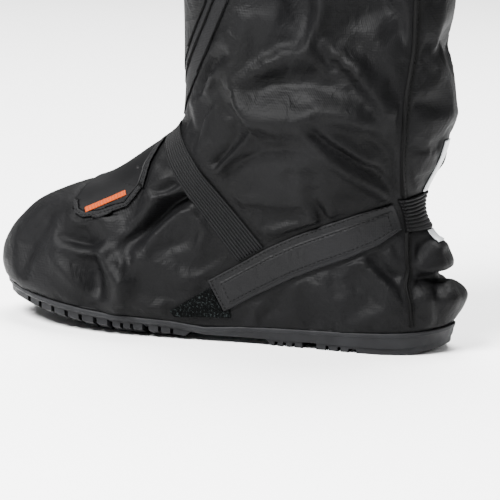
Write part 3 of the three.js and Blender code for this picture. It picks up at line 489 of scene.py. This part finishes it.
rims = {v.index for v in sheet.verts if v.is_boundary}
slack = as_object("slack", sheet)
sheet_at = places(slack.data)
all_places = tree_of_places(at)
same = [all_places.find(place)[1] for place in sheet_at]
put(slack.data, sheet_at + (creased - at)[same])
held = slack.vertex_groups.new(name="held")
for i, part in enumerate(free[same]):
    held.add([i], 1.0 if i in rims else float(1 - part), "REPLACE")
buckling = slack.modifiers.new("buckling", "CLOTH")
buckling.collision_settings.use_collision = False
cloth = buckling.settings
cloth.vertex_group_mass = "held"
cloth.quality = 6
cloth.mass = 0.2
cloth.air_damping = 3
cloth.tension_stiffness = cloth.compression_stiffness = 12
cloth.shear_stiffness = 4
cloth.bending_stiffness = 12
cloth.shrink_min = cloth.shrink_max = -CLOTH_GROWTH
cloth.effector_weights.gravity = 0.05
for step in range(1, CLOTH_STEPS + 1):
    bpy.context.scene.frame_set(step)
state = slack.evaluated_get(bpy.context.evaluated_depsgraph_get())
moved = places(state.data) - sheet_at
bpy.data.objects.remove(slack)
bpy.context.scene.frame_set(1)
moved *= np.minimum(1, MOST_MOVED / np.linalg.norm(moved, axis=1).clip(1e-9))[:, None]

# Both walls of the fabric move as the nearest places of the sheet did.
NEAREST, CLOSE = 5, 0.4 * MM
sheet_places = tree_of_places(sheet_at)
for i, place in enumerate(at.copy()):
    near = sheet_places.find_n(place, NEAREST)
    weights = np.array([1 / (away + CLOSE) ** 2 for _, _, away in near])
    mean = weights @ moved[[k for _, k, _ in near]] / weights.sum()
    at[i] += mean * free[i] * near_collar[i]
put(fabric.data, eased(at, fabric.data, 2, free))
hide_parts("upper")

# Every trim is sewn or welded on, so it follows the fabric at its own height over it.
bare = bmesh.new()
bare.from_mesh(nodes["upper"].data)
plain_tree = BVHTree.FromBMesh(bare)
bare.free()
dressed = bmesh.new()
dressed.from_mesh(fabric.data)
outside = dressed.verts.layers.float["outside"]
inner_wall = [vert for vert in dressed.verts if vert[outside] < 0.5]
bmesh.ops.delete(dressed, geom=inner_wall, context="VERTS")
fabric_tree = BVHTree.FromBMesh(dressed)
dressed.free()


def mix(a, b, share):
    """The value at a share of the way from a to b."""
    return a + (b - a) * share


PROBE = 4 * MM


def laid(place):
    """A place over the CAD's upper, moved to the same height over the fabric."""
    under = plain_tree.find_nearest(place)[0]
    lift = place - under
    probe = under + lift.normalized() * PROBE
    foot = fabric_tree.find_nearest(probe)[0]
    return foot + (probe - foot).normalized() * lift.length


def trim_copy(name, node, longest):
    """A finer copy of a CAD trim, laid on the fabric."""
    trim = bmesh.new()
    trim.from_mesh(nodes[node].data)
    bmesh.ops.remove_doubles(trim, verts=trim.verts, dist=SAME_PLACE)
    for _ in range(6):
        long_edges = [e for e in trim.edges if e.calc_length() > longest]
        if not long_edges:
            break
        bmesh.ops.subdivide_edges(trim, edges=long_edges, cuts=1)
        bmesh.ops.triangulate(trim, faces=trim.faces)
    for vert in trim.verts:
        vert.co = laid(vert.co)
    return as_object(name, trim)


def beside(x, z, side):
    """A ray from the middle of the boot out to one side, at a place of the side view."""
    return Vector((x * MM, 0, z * MM)), Vector((0, side, 0))


def on_line(line, share):
    """The place at a share of the length of a line of (x, z) points."""
    steps = [math.dist(p, q) for p, q in zip(line, line[1:])]
    run = np.cumsum([0, *steps]) / sum(steps)
    return [float(np.interp(share, run, [p[axis] for p in line])) for axis in (0, 1)]


FAR_OUT = 400 * MM


def on_surface(tree, ray):
    """Where a ray from inside the boot leaves a surface for good, and which way that faces."""
    start, way = ray
    return tree.ray_cast(start + way * FAR_OUT, -way)[:2]


def band(name, rows, columns, ray_at, height_at, thickness, base=fabric_tree):
    """A strip laid on a base, with a UV map of its length and width. ray_at(u, v) is a ray through
    the place at a share u of its length and v of its width, and height_at(u, v) is how far its
    face stands out there, in millimetres. Its thickness lies under that face."""
    strip = bmesh.new()
    strip.loops.layers.uv.new("band")
    bmesh.ops.create_grid(strip, x_segments=rows, y_segments=columns, size=0.5, calc_uvs=True)
    shares = [(vert.co.x + 0.5, vert.co.y + 0.5) for vert in strip.verts]
    ways = []
    for vert, share in zip(strip.verts, shares):
        ray = ray_at(*share)
        vert.co = on_surface(base, ray)[0]
        ways.append(ray[1])
    for _ in range(6):
        bmesh.ops.smooth_vert(
            strip, verts=[v for v in strip.verts if not v.is_boundary], factor=0.5,
            use_axis_x=True, use_axis_y=True, use_axis_z=True,
        )
    strip.normal_update()
    if sum(vert.normal.dot(way) for vert, way in zip(strip.verts, ways)) < 0:
        bmesh.ops.reverse_faces(strip, faces=strip.faces)
        strip.normal_update()
    raised = [v.co + v.normal * height_at(*share) * MM for v, share in zip(strip.verts, shares)]
    for vert, place in zip(strip.verts, raised):
        vert.co = place
    made = as_object(name, strip)
    wall = made.modifiers.new("thickness", "SOLIDIFY")
    wall.thickness = thickness * MM
    wall.offset = -1
    return made


def tree_of(*pieces):
    """A tree of the surface of some pieces, with their modifiers."""
    everything = bmesh.new()
    for piece in pieces:
        everything.from_object(piece, bpy.context.evaluated_depsgraph_get())
    tree = BVHTree.FromBMesh(everything)
    everything.free()
    return tree


def stitched(name, tree, rays, length=2.2, width=0.7, height=0.6):
    """Stitches on a surface: one flattened bead for each ray, lying along the row of them. The
    sizes are in millimetres."""
    hits = [hit for hit in (on_surface(tree, ray) for ray in rays) if hit[0] is not None]
    thread = bmesh.new()
    for i, (place, normal) in enumerate(hits):
        before, after = hits[max(i - 1, 0)][0], hits[min(i + 1, len(hits) - 1)][0]
        along = (after - before).normalized()
        across = normal.cross(along).normalized()
        up = along.cross(across)
        turn = Matrix((along, across, up)).transposed().to_4x4()
        size = Matrix.Diagonal((length * MM, width * MM, height * MM, 1))
        bmesh.ops.create_icosphere(
            thread, subdivisions=1, radius=0.5, matrix=Matrix.Translation(place) @ turn @ size
        )
    return as_object(name, thread)


def sewn_on(piece, slot, finish, *replaced):
    """The piece stays on the boot in its own material, in place of the CAD nodes it dresses."""
    piece.data.materials.clear()
    piece.data.materials.append(finish)
    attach(piece, "root")
    if replaced:
        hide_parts(*replaced)


def surface(name, sheen, colour, roughness):
    """A material, with its node tree and its shader. Where a pattern gives the colour or the
    roughness, the value here is its plain tone, which an export without baking shows."""
    made = bpy.data.materials.new(name)
    made.use_nodes = True
    shader = made.node_tree.nodes["Principled BSDF"]
    shader.inputs["Specular IOR Level"].default_value = sheen
    shader.inputs["Base Color"].default_value = (*colour, 1)
    shader.inputs["Roughness"].default_value = roughness
    return made, made.node_tree, shader


def group_of(name, inputs, outputs):
    """An empty node group with number inputs and outputs, and its two end nodes."""
    group = bpy.data.node_groups.new(name, "ShaderNodeTree")
    for socket, value in inputs.items():
        made = group.interface.new_socket(socket, in_out="INPUT", socket_type="NodeSocketFloat")
        made.default_value = value
    for socket in outputs:
        group.interface.new_socket(socket, in_out="OUTPUT", socket_type="NodeSocketFloat")
    start = group.nodes.new("NodeGroupInput")
    end = group.nodes.new("NodeGroupOutput")
    return group, start, end


def maths(tree, operation, first, second=None, clamp=False):
    """A Math node. Each side is a socket or a number."""
    node = tree.nodes.new("ShaderNodeMath")
    node.operation = operation
    node.use_clamp = clamp
    for socket, value in zip(node.inputs, (first, second)):
        if isinstance(value, bpy.types.NodeSocket):
            tree.links.new(value, socket)
        elif value is not None:
            socket.default_value = value
    return node.outputs[0]


# Worn cloth: soft patches where the finish is rubbed, and the small sharp creases of a coated
# fabric that has been folded and packed.
patches, start, end = group_of("patches", {"Scale": 20, "Low": 0.0, "High": 1.0}, ["Value"])
place = patches.nodes.new("ShaderNodeTexCoord")
cloud = patches.nodes.new("ShaderNodeTexNoise")
cloud.inputs["Detail"].default_value = 4
patches.links.new(place.outputs["Object"], cloud.inputs["Vector"])
patches.links.new(start.outputs["Scale"], cloud.inputs["Scale"])
spread = patches.nodes.new("ShaderNodeMapRange")
spread.inputs["From Min"].default_value = 0.35
spread.inputs["From Max"].default_value = 0.65
patches.links.new(cloud.outputs["Fac"], spread.inputs["Value"])
patches.links.new(start.outputs["Low"], spread.inputs["To Min"])
patches.links.new(start.outputs["High"], spread.inputs["To Max"])
patches.links.new(spread.outputs["Result"], end.inputs["Value"])

crumple, start, end = group_of("crumple", {"Scale": 90, "Sharpness": 3}, ["Height"])
place = crumple.nodes.new("ShaderNodeTexCoord")
ridges = crumple.nodes.new("ShaderNodeTexNoise")
ridges.inputs["Detail"].default_value = 3
ridges.inputs["Distortion"].default_value = 0.6
crumple.links.new(place.outputs["Object"], ridges.inputs["Vector"])
crumple.links.new(start.outputs["Scale"], ridges.inputs["Scale"])
centred = maths(crumple, "SUBTRACT", ridges.outputs["Fac"], 0.5)
away = maths(crumple, "ABSOLUTE", centred)
folded = maths(crumple, "MULTIPLY", away, start.outputs["Sharpness"])
crumple.links.new(maths(crumple, "SUBTRACT", 1.0, folded, clamp=True), end.inputs["Height"])

# Cloth threads, as two sets of waves across each other.
threads, start, end = group_of("threads", {"Warp": 600, "Weft": 600}, ["Height"])
place = threads.nodes.new("ShaderNodeTexCoord")
sides = threads.nodes.new("ShaderNodeSeparateXYZ")
threads.links.new(place.outputs["Object"], sides.inputs["Vector"])
sideways = maths(threads, "ADD", sides.outputs["X"], sides.outputs["Y"])
warp = maths(threads, "SINE", maths(threads, "MULTIPLY", sideways, start.outputs["Warp"]))
weft = maths(threads, "SINE", maths(threads, "MULTIPLY", sides.outputs["Z"], start.outputs["Weft"]))
threads.links.new(maths(threads, "ADD", warp, weft), end.inputs["Height"])


def placed(tree, group, **values):
    """The output of a node group that is placed in a tree with its own values."""
    node = tree.nodes.new("ShaderNodeGroup")
    node.node_tree = group
    for socket, value in values.items():
        node.inputs[socket].default_value = value
    return node.outputs[0]


def relief(tree, shader, height, distance, strength=1.0, under=None):
    """A bump of the shader's normal, of a distance in millimetres, over another one if given."""
    bump = tree.nodes.new("ShaderNodeBump")
    bump.inputs["Distance"].default_value = distance * MM
    bump.inputs["Strength"].default_value = strength
    tree.links.new(height, bump.inputs["Height"])
    if under is not None:
        tree.links.new(under, bump.inputs["Normal"])
    tree.links.new(bump.outputs["Normal"], shader.inputs["Normal"])
    return bump.outputs["Normal"]


def coloured(tree, shader, share, dark, light):
    """A base colour that runs from dark to light with a share."""
    ramp = tree.nodes.new("ShaderNodeMix")
    ramp.data_type = "RGBA"
    ramp.inputs["A"].default_value = (*dark, 1)
    ramp.inputs["B"].default_value = (*light, 1)
    tree.links.new(share, ramp.inputs["Factor"])
    tree.links.new(ramp.outputs["Result"], shader.inputs["Base Color"])


def rubbed(tree, shader, scale, low, high):
    """A roughness that runs from low to high in soft patches."""
    patch = placed(tree, patches, Scale=scale, Low=low, High=high)
    tree.links.new(patch, shader.inputs["Roughness"])


DUST = 2.7


def coated(name, sheen, colour):
    """Black coated nylon: dusty patches, a fine grid of threads, and crumples of two sizes."""
    made, tree, shader = surface(name, sheen, colour, 0.6)
    dusty = [DUST * value for value in colour]
    coloured(tree, shader, placed(tree, patches, Scale=14), colour, dusty)
    rubbed(tree, shader, 30, 0.56, 0.65)
    ripstop = relief(tree, shader, placed(tree, threads, Warp=3900, Weft=3900), 0.04, 0.45)
    fine = relief(tree, shader, placed(tree, crumple, Scale=190, Sharpness=4), 0.3, 0.3, ripstop)
    relief(tree, shader, placed(tree, crumple, Scale=60, Sharpness=4), 0.65, 0.65, fine)
    return made


nylon = coated("coated_nylon", 0.085, (0.0008, 0.0008, 0.0009))
sewn_on(fabric, "nylon", nylon)

# The outsole is one dull moulding of black rubber, with a rim, lugs and a heel. It has a fine
# grain and a little dust in it, and softly rounded edges. The upper is glued into its rim.
CLEAN_RUBBER = (0.005, 0.0051, 0.0057)
DUSTY_RUBBER = (0.008, 0.0082, 0.0091)
rubber, tree, shader = surface("sole_rubber", 0.12, CLEAN_RUBBER, 0.58)
coloured(tree, shader, placed(tree, patches, Scale=60), CLEAN_RUBBER, DUSTY_RUBBER)
rubbed(tree, shader, 200, 0.5, 0.66)
relief(tree, shader, placed(tree, patches, Scale=2500), 0.05, 0.5)
tread = bmesh.new()
tread.from_mesh(nodes["outsole"].data)
bmesh.ops.remove_doubles(tread, verts=tread.verts, dist=SAME_PLACE)
FLAT_WITHIN, SHARP_EDGE = math.radians(0.5), math.radians(30)
bmesh.ops.dissolve_limit(
    tread, angle_limit=FLAT_WITHIN, verts=tread.verts, edges=tread.edges
)
for edge in tread.edges:
    edge.smooth = edge.is_manifold and edge.calc_face_angle() < SHARP_EDGE
sole = as_object("moulded_sole", tread)
rounding = sole.modifiers.new("rounding", "BEVEL")
rounding.limit_method = "ANGLE"
rounding.angle_limit = SHARP_EDGE
rounding.width = 0.35 * MM
rounding.segments = 2
rounding.harden_normals = True
sewn_on(sole, "sole_rubber", rubber, "outsole")

# The toe guard is a pad of smooth film sewn over the toes, with a rolled binding of woven tape
# along its lower and rear edge, and a bright moulded bar. A bar tack holds the binding's dart,
# and a knot of thread its front end.
guard_film, tree, shader = surface("guard_film", 0.09, (0.002, 0.002, 0.0022), 0.5)
rubbed(tree, shader, 40, 0.46, 0.56)
relief(tree, shader, placed(tree, crumple, Scale=60, Sharpness=3), 0.2, 0.3)
sewn_on(trim_copy("toe_guard_pad", "toe_guard", 2.5 * MM), "guard_film", guard_film, "toe_guard")

woven_tape, tree, shader = surface("woven_tape", 0.1, (0.003, 0.003, 0.0033), 0.7)
relief(tree, shader, placed(tree, threads, Warp=6000, Weft=6000), 0.06, 0.6)
binding = trim_copy("guard_binding", "toe_guard_binding", 1.5 * MM)
sewn_on(binding, "binding", woven_tape, "toe_guard_binding")

thread, tree, shader = surface("sewing_thread", 0.06, (0.0012, 0.0012, 0.0012), 0.6)
relief(tree, shader, placed(tree, threads, Warp=9000, Weft=9000), 0.05, 0.6)
BINDING_MIDDLE = [(156, 121), (158, 113.5), (158.8, 105.3), (159.6, 98), (164, 91.6),
                  (168.8, 85.8), (177.5, 82.4), (187.2, 79), (194.2, 77), (201, 76.2),
                  (205.5, 79)]
DART = [(158.6, 98), (163.4, 101.2)]
KNOT, KNOT_RADIUS, KNOT_ROUGHNESS = (208.4, 79.6), 1.3 * MM, 0.25
guard_tree = tree_of(fabric, binding)


def row_on(line, count):
    """Rays at even steps along a line of the outer side."""
    return [beside(*on_line(line, i / (count - 1)), 1) for i in range(count)]


guard_row = stitched("guard_stitches", guard_tree, row_on(BINDING_MIDDLE, 28))
sewn_on(guard_row, "binding", thread)
bar_tack = stitched("guard_bar_tack", guard_tree, row_on(DART, 9), 0.7, 2.6, 1.6)
sewn_on(bar_tack, "binding", thread)
knot_place, knot_way = on_surface(guard_tree, beside(*KNOT, 1))
knot_mesh = bmesh.new()
bmesh.ops.create_icosphere(
    knot_mesh, subdivisions=3, radius=KNOT_RADIUS,
    matrix=Matrix.Translation(knot_place + knot_way * 0.5 * MM),
)
for vert in knot_mesh.verts:
    vert.co += (vert.co - knot_place) * KNOT_ROUGHNESS * noise.noise(vert.co * 900)
sewn_on(as_object("guard_knot", knot_mesh), "binding", thread)

bright_bar, tree, shader = surface("bright_bar", 0.12, (0.2, 0.027, 0.0012), 0.6)
relief(tree, shader, placed(tree, patches, Scale=900), 0.05, 0.5)
BAR_LOWER = [(197.6, 77.0), (169.1, 91.0)]
BAR_UPPER = [(198.9, 80.0), (170.5, 93.7)]
BAR_RIBS, BAR_OUT, BAR_RIB_HEIGHT = 14, 1.9, 0.25


def bar_ray(u, v):
    x, z = (mix(a, b, v) for a, b in zip(on_line(BAR_LOWER, u), on_line(BAR_UPPER, u)))
    return beside(x, z, 1)


def bar_height(u, v):
    rib = abs(math.sin(math.pi * BAR_RIBS * u)) * math.sin(math.pi * v) ** 0.3
    return BAR_OUT + BAR_RIB_HEIGHT * rib


bar = band("guard_bar", BAR_RIBS * 6, 8, bar_ray, bar_height, 0.6)
sewn_on(bar, "bright_bar", bright_bar, "toe_bar")

# The front flap closes the shin in three stepped layers: a cover of the upper's nylon over two
# facings of woven tape. Each is sewn down, and edged with a thin cord that catches the light.
layers = [fabric]
for name, node in (("flap_cover", "front_flap"), ("flap_middle", "flap_binding"),
                   ("flap_under", "flap_facing")):
    cover = trim_copy(name, node, 3 * MM)
    sewn_on(cover, "nylon", nylon if node == "front_flap" else woven_tape, node)
    layers.append(cover)

FLAP_EDGES = {
    "flap_under_cord": [(121.9, 175.2), (110.1, 198), (98.1, 223.3), (80.4, 301.1)],
    "flap_middle_cord": [(132.4, 177.7), (116.3, 207.5), (108.8, 223.3), (91.1, 301.1)],
    "flap_cover_cord": [(131.1, 190.4), (115.2, 220.4), (97.8, 301.1)],
}
CORD_WIDTH, CORD_GAP, CORD_FOOT, CORD_HEIGHT = 1.3, 0.4, 0.15, 0.7
flap_tree = tree_of(*layers)
for name, line in FLAP_EDGES.items():

    def cord_ray(u, v):
        x, z = on_line(line, u)
        return beside(x + CORD_GAP + CORD_WIDTH * (1 - v), z, 1)

    def cord_height(u, v):
        return CORD_FOOT + CORD_HEIGHT * math.sin(math.pi * v) ** 0.5

    cord = band(name, 90, 8, cord_ray, cord_height, 0.4, flap_tree)
    sewn_on(cord, "binding", nylon)

# The elastics are ribbed webbing: cords of rubber side by side in a knitted band. The instep
# elastic runs from under the strap over the instep and down to the sole on the inner side.
cords, start, end = group_of("cords", {"Count": 10}, ["Height"])
width_share = cords.nodes.new("ShaderNodeUVMap")
width_share.uv_map = "band"
sides = cords.nodes.new("ShaderNodeSeparateXYZ")
cords.links.new(width_share.outputs["UV"], sides.inputs["Vector"])
half_turns = maths(cords, "MULTIPLY", start.outputs["Count"], math.pi)
turns = maths(cords, "MULTIPLY", sides.outputs["Y"], half_turns)
wave = maths(cords, "ABSOLUTE", maths(cords, "SINE", turns))
cords.links.new(maths(cords, "POWER", wave, 0.8), end.inputs["Height"])


# Painted shade: the webbing's colour falls almost to black in the grooves between the cords.
PAINTED_SHADE_BETWEEN_CORDS = (0.0003, 0.0003, 0.0003)
ON_CORDS = (0.0042, 0.0042, 0.0045)


def elastic(ribs):
    """Elastic webbing with a number of cords side by side, and painted shade between them."""
    made, tree, shader = surface(f"elastic_of_{ribs}_cords", 0.09, ON_CORDS, 0.7)
    cord = placed(tree, cords, Count=ribs)
    coloured(tree, shader, cord, PAINTED_SHADE_BETWEEN_CORDS, ON_CORDS)
    knit = relief(tree, shader, placed(tree, threads, Warp=5200, Weft=5200), 0.1, 0.6)
    relief(tree, shader, cord, 0.5, 0.8, knit)
    return made


INSTEP_RIBS = 10
INSTEP_START = [(73, 65.6), (90, 54.9)]
INSTEP_END = [(44.2, 25.2), (69.7, 22.9)]
INSTEP_CROWN = (132, 118)
CROWN_UP = Vector((0.664, 0, 0.748))
OUTER_STRETCH, INNER_STRETCH = 0.25, 0.39
INSTEP_WIDTH, CROWN_NARROWER = 18.5, 6


def instep_ray(u, v):
    """Straight up the outer side, round over the crown of the instep, and down the inner side."""
    turn = math.pi * min(max((u - OUTER_STRETCH) / (1 - OUTER_STRETCH - INNER_STRETCH), 0), 1)
    width = INSTEP_WIDTH - CROWN_NARROWER * math.sin(turn)
    crown = (
        INSTEP_CROWN[0] + CROWN_UP.z * width * (v - 0.5),
        INSTEP_CROWN[1] - CROWN_UP.x * width * (v - 0.5),
    )
    if u < OUTER_STRETCH:
        foot = [mix(a, b, v) for a, b in zip(*INSTEP_START)]
        return beside(*(mix(a, b, u / OUTER_STRETCH) for a, b in zip(foot, crown)), 1)
    if u > 1 - INNER_STRETCH:
        foot = [mix(a, b, v) for a, b in zip(*INSTEP_END)]
        return beside(*(mix(b, a, (1 - u) / INNER_STRETCH) for a, b in zip(crown, foot)), -1)
    way = CROWN_UP * math.sin(turn) + Vector((0, math.cos(turn), 0))
    return Vector((crown[0] * MM, 0, crown[1] * MM)), way


WEBBING_OUT, RIB_HEIGHT = 1.1, 0.7


def ribbed(ribs):
    """The height of webbing with a number of ribs across its width."""
    return lambda u, v: WEBBING_OUT + RIB_HEIGHT * abs(math.sin(math.pi * ribs * v)) ** 0.7


instep = band("instep_webbing", 110, INSTEP_RIBS * 6, instep_ray, ribbed(INSTEP_RIBS), 1.2)
sewn_on(instep, "elastic", elastic(INSTEP_RIBS), "instep_elastic")

# The ankle elastic is the same webbing. It is sewn to the fabric behind the strap and drawn round
# the back of the ankle to the inner side.
ANKLE_RIBS = 9
ANKLE_LOW, ANKLE_HIGH = (-15.3, 78.3), (-9.9, 99.8)
ANKLE_RISE = 3.2


def ankle_ray(u, v):
    x, z = (mix(a, b, v) for a, b in zip(ANKLE_LOW, ANKLE_HIGH))
    turn = math.pi * u
    start = Vector((x * MM, 0, (z + ANKLE_RISE * math.sin(turn) * v) * MM))
    return start, Vector((-math.sin(turn), math.cos(turn), 0))


ankle = band("ankle_webbing", 80, ANKLE_RIBS * 6, ankle_ray, ribbed(ANKLE_RIBS), 1.2)
sewn_on(ankle, "elastic", elastic(ANKLE_RIBS), "ankle_elastic")

# A zigzag of black thread joins it to the fabric at each end.
ZIGZAGS, ZIGZAG_SWING, ZIGZAG_MARGIN = 9, 0.012, 0.06
for name, u in (("ankle_zigzag_outer", 0.045), ("ankle_zigzag_inner", 0.955)):
    rays = []
    for i in range(2 * ZIGZAGS + 1):
        v = mix(ZIGZAG_MARGIN, 1 - ZIGZAG_MARGIN, i / (2 * ZIGZAGS))
        rays.append(ankle_ray(u + ZIGZAG_SWING * (-1) ** i, v))
    sewn_on(stitched(name, tree_of(ankle), rays, 3.2, 0.8, 0.8), "binding", thread)

# The soft half of the touch fastener is a patch of looped pile, with pale specks painted in it:
# painted highlights where light catches the tips of its loops. It is sewn on just above the sole,
# where the front end of the strap closes on it.
PILE = (0.0003, 0.0005, 0.0005)
PAINTED_GLINTS = (0.014, 0.017, 0.017)
loops, tree, shader = surface("loop_pile", 0.05, (0.0015, 0.002, 0.002), 0.95)
# Painted highlights: pale specks for light caught on the loops.
specks = placed(tree, patches, Scale=750, Low=-2.2, High=1.0)
coloured(tree, shader, maths(tree, "ADD", specks, 0.0, clamp=True), PILE, PAINTED_GLINTS)
relief(tree, shader, placed(tree, patches, Scale=1100), 0.9, 1.0)
pad = trim_copy("loop_pad", "loop_patch", 0.9 * MM)
sewn_on(pad, "touch_loop", loops, "loop_patch")

# The strap is folded nylon with a second layer sewn on it, inside its hems. It runs from the ankle
# elastic down to the patch, in a smoother, glossier cut of the upper's cloth, whose lighter colour
# is painted light.
STRAP_TOP = [(110, 41), (91, 52.5), (72.4, 64.3), (53.3, 74.2), (35.4, 81.9), (12, 91.2),
             (-7, 97.6)]
STRAP_FOOT = [(99, 21), (77, 34), (54.5, 46), (36.4, 54.3), (17.2, 62), (0.5, 70.2),
              (-12.3, 80.2)]
STRAP_LENGTH, STRAP_WIDTH, STRAP_OUT = 130, 22, 1.2
EDGE_ROUND, EDGE_HEIGHT = 0.7, 0.6
PANEL_INSET = {"front": 6.5, "rear": 3, "top": 4.6, "foot": 2.4}
PANEL_ROUND, PANEL_HEIGHT = 0.8, 0.7
GROOVE_INSET, GROOVE_HALF, GROOVE_DEPTH = 1.3, 0.5, 0.4


def strap_ray(u, v):
    x, z = (mix(a, b, v) for a, b in zip(on_line(STRAP_FOOT, u), on_line(STRAP_TOP, u)))
    return beside(x, z, 1)


def strap_height(u, v):
    from_edges = {
        "front": u * STRAP_LENGTH,
        "rear": (1 - u) * STRAP_LENGTH,
        "top": (1 - v) * STRAP_WIDTH,
        "foot": v * STRAP_WIDTH,
    }
    edge = min(from_edges.values())
    panel = min(from_edges[k] - PANEL_INSET[k] for k in PANEL_INSET)
    rim = STRAP_OUT + EDGE_HEIGHT * min(edge / EDGE_ROUND, 1) ** 0.5
    step = min(max(panel / PANEL_ROUND, 0), 1)
    groove = math.exp(-((panel - GROOVE_INSET) / GROOVE_HALF) ** 2)
    return rim + PANEL_HEIGHT * step * step * (3 - 2 * step) - GROOVE_DEPTH * groove


strap = band("strap_webbing", 190, 56, strap_ray, strap_height, 1.2)
# Painted light: the upper's nylon with its colour painted half again lighter.
lit_strap_nylon = coated("lit_strap_nylon", 0.13, (0.0012, 0.0012, 0.0014))
sewn_on(strap, "nylon", lit_strap_nylon, "strap")


STITCH_STEP = 3.0


def panel_row(inset):
    """Rays along a row of stitches inside the edges of the strap's panel."""
    u0 = (PANEL_INSET["front"] + inset) / STRAP_LENGTH
    u1 = 1 - (PANEL_INSET["rear"] + inset) / STRAP_LENGTH
    v0 = (PANEL_INSET["foot"] + inset) / STRAP_WIDTH
    v1 = 1 - (PANEL_INSET["top"] + inset) / STRAP_WIDTH
    corners = [(u0, v0), (u1, v0), (u1, v1), (u0, v1), (u0, v0)]
    row = []
    for (ua, va), (ub, vb) in zip(corners, corners[1:]):
        count = round(math.hypot((ub - ua) * STRAP_LENGTH, (vb - va) * STRAP_WIDTH) / STITCH_STEP)
        row += [strap_ray(mix(ua, ub, i / count), mix(va, vb, i / count)) for i in range(count)]
    return row


PANEL_ROW, HEM_ROW, EDGE_ROW = 1.4, 2.2, 1.6
HEM_STITCHES, EDGE_STITCHES = 8, 41
strap_tree = tree_of(strap)
hem_rays = [
    strap_ray(HEM_ROW / STRAP_LENGTH, mix(0.08, 0.92, i / (HEM_STITCHES - 1)))
    for i in range(HEM_STITCHES)
]
edge_rays = [
    strap_ray((i + 1) / (EDGE_STITCHES + 1), 1 - EDGE_ROW / STRAP_WIDTH)
    for i in range(EDGE_STITCHES)
]
for name, rays in (("strap_panel_stitches", panel_row(PANEL_ROW)),
                   ("strap_hem_stitches", hem_rays), ("strap_edge_stitches", edge_rays)):
    sewn_on(stitched(name, strap_tree, rays), "binding", thread)

# The seams beside the back panel are sewn and piped with a dark cord, on either side, below and
# above the ankle elastic. A row of stitches runs behind the piping.
SEAM_LINE = [(-23.9, 18.9), (-22.8, 33.9), (-18.2, 45.8), (-18.8, 55), (-16.3, 76.4),
             (-13.4, 103), (-16.9, 140.8), (-17.7, 168.7), (-20.6, 197.4), (-20.6, 227.5),
             (-20.6, 301)]
SEAM_WIDTH, SEAM_MARGIN = 3.6, 0.2
PIPING_FOOT, PIPING_HEIGHT, PIPING_AT, PIPING_HALF = 0.5, 1.3, 0.34, 0.2
SEAM_STITCHES_AT = 0.78
for node in ("seam_outer_heel", "seam_outer_shaft", "seam_inner_heel", "seam_inner_shaft"):
    side = 1 if "outer" in node else -1
    low_z, high_z = (corner.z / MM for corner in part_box(node))

    def seam_ray(u, v):
        z = mix(low_z + SEAM_MARGIN, high_z - SEAM_MARGIN, u)
        x = float(np.interp(z, [p[1] for p in SEAM_LINE], [p[0] for p in SEAM_LINE]))
        return beside(x + SEAM_WIDTH * (0.5 - v), z, side)

    def seam_height(u, v):
        return PIPING_FOOT + PIPING_HEIGHT * math.exp(-(((v - PIPING_AT) / PIPING_HALF) ** 4))

    piping = band(node + "_piping", int((high_z - low_z) / 1.5), 14, seam_ray, seam_height, 0.5)
    sewn_on(piping, "tape", thread, node)
    count = round((high_z - low_z) / STITCH_STEP)
    rays = [seam_ray((i + 0.5) / count, SEAM_STITCHES_AT) for i in range(count)]
    sewn_on(stitched(node + "_stitches", tree_of(piping), rays), "binding", thread)

# The collar is the upper's own nylon, folded out into a hem and held by two rows of stitches
# in the same black thread.
COLLAR_MIDDLE = 35
COLLAR_ROWS = (24.2, 21.6)
COLLAR_STITCHES = 130
for number, drop in enumerate(COLLAR_ROWS):
    rays = []
    for i in range(COLLAR_STITCHES + 1):
        turn = 2 * math.pi * i / COLLAR_STITCHES
        start = Vector((COLLAR_MIDDLE * MM, 0, cad_box[1][2] - drop * MM))
        rays.append((start, Vector((math.cos(turn), math.sin(turn), 0))))
    sewn_on(stitched(f"collar_stitches_{number}", fabric_tree, rays), "binding", thread)

# A smooth pale tape runs down the middle of the back, in two lengths, below and above the ankle
# elastic. It lies on the nylon and follows its folds.
pale_tape, tree, shader = surface("pale_tape", 0.5, (0.33, 0.34, 0.35), 0.35)
for node in ("back_tape_low", "back_tape_high"):
    tape = trim_copy(node + "_laid", node, 2 * MM)
    sewn_on(tape, "tape", pale_tape, node)
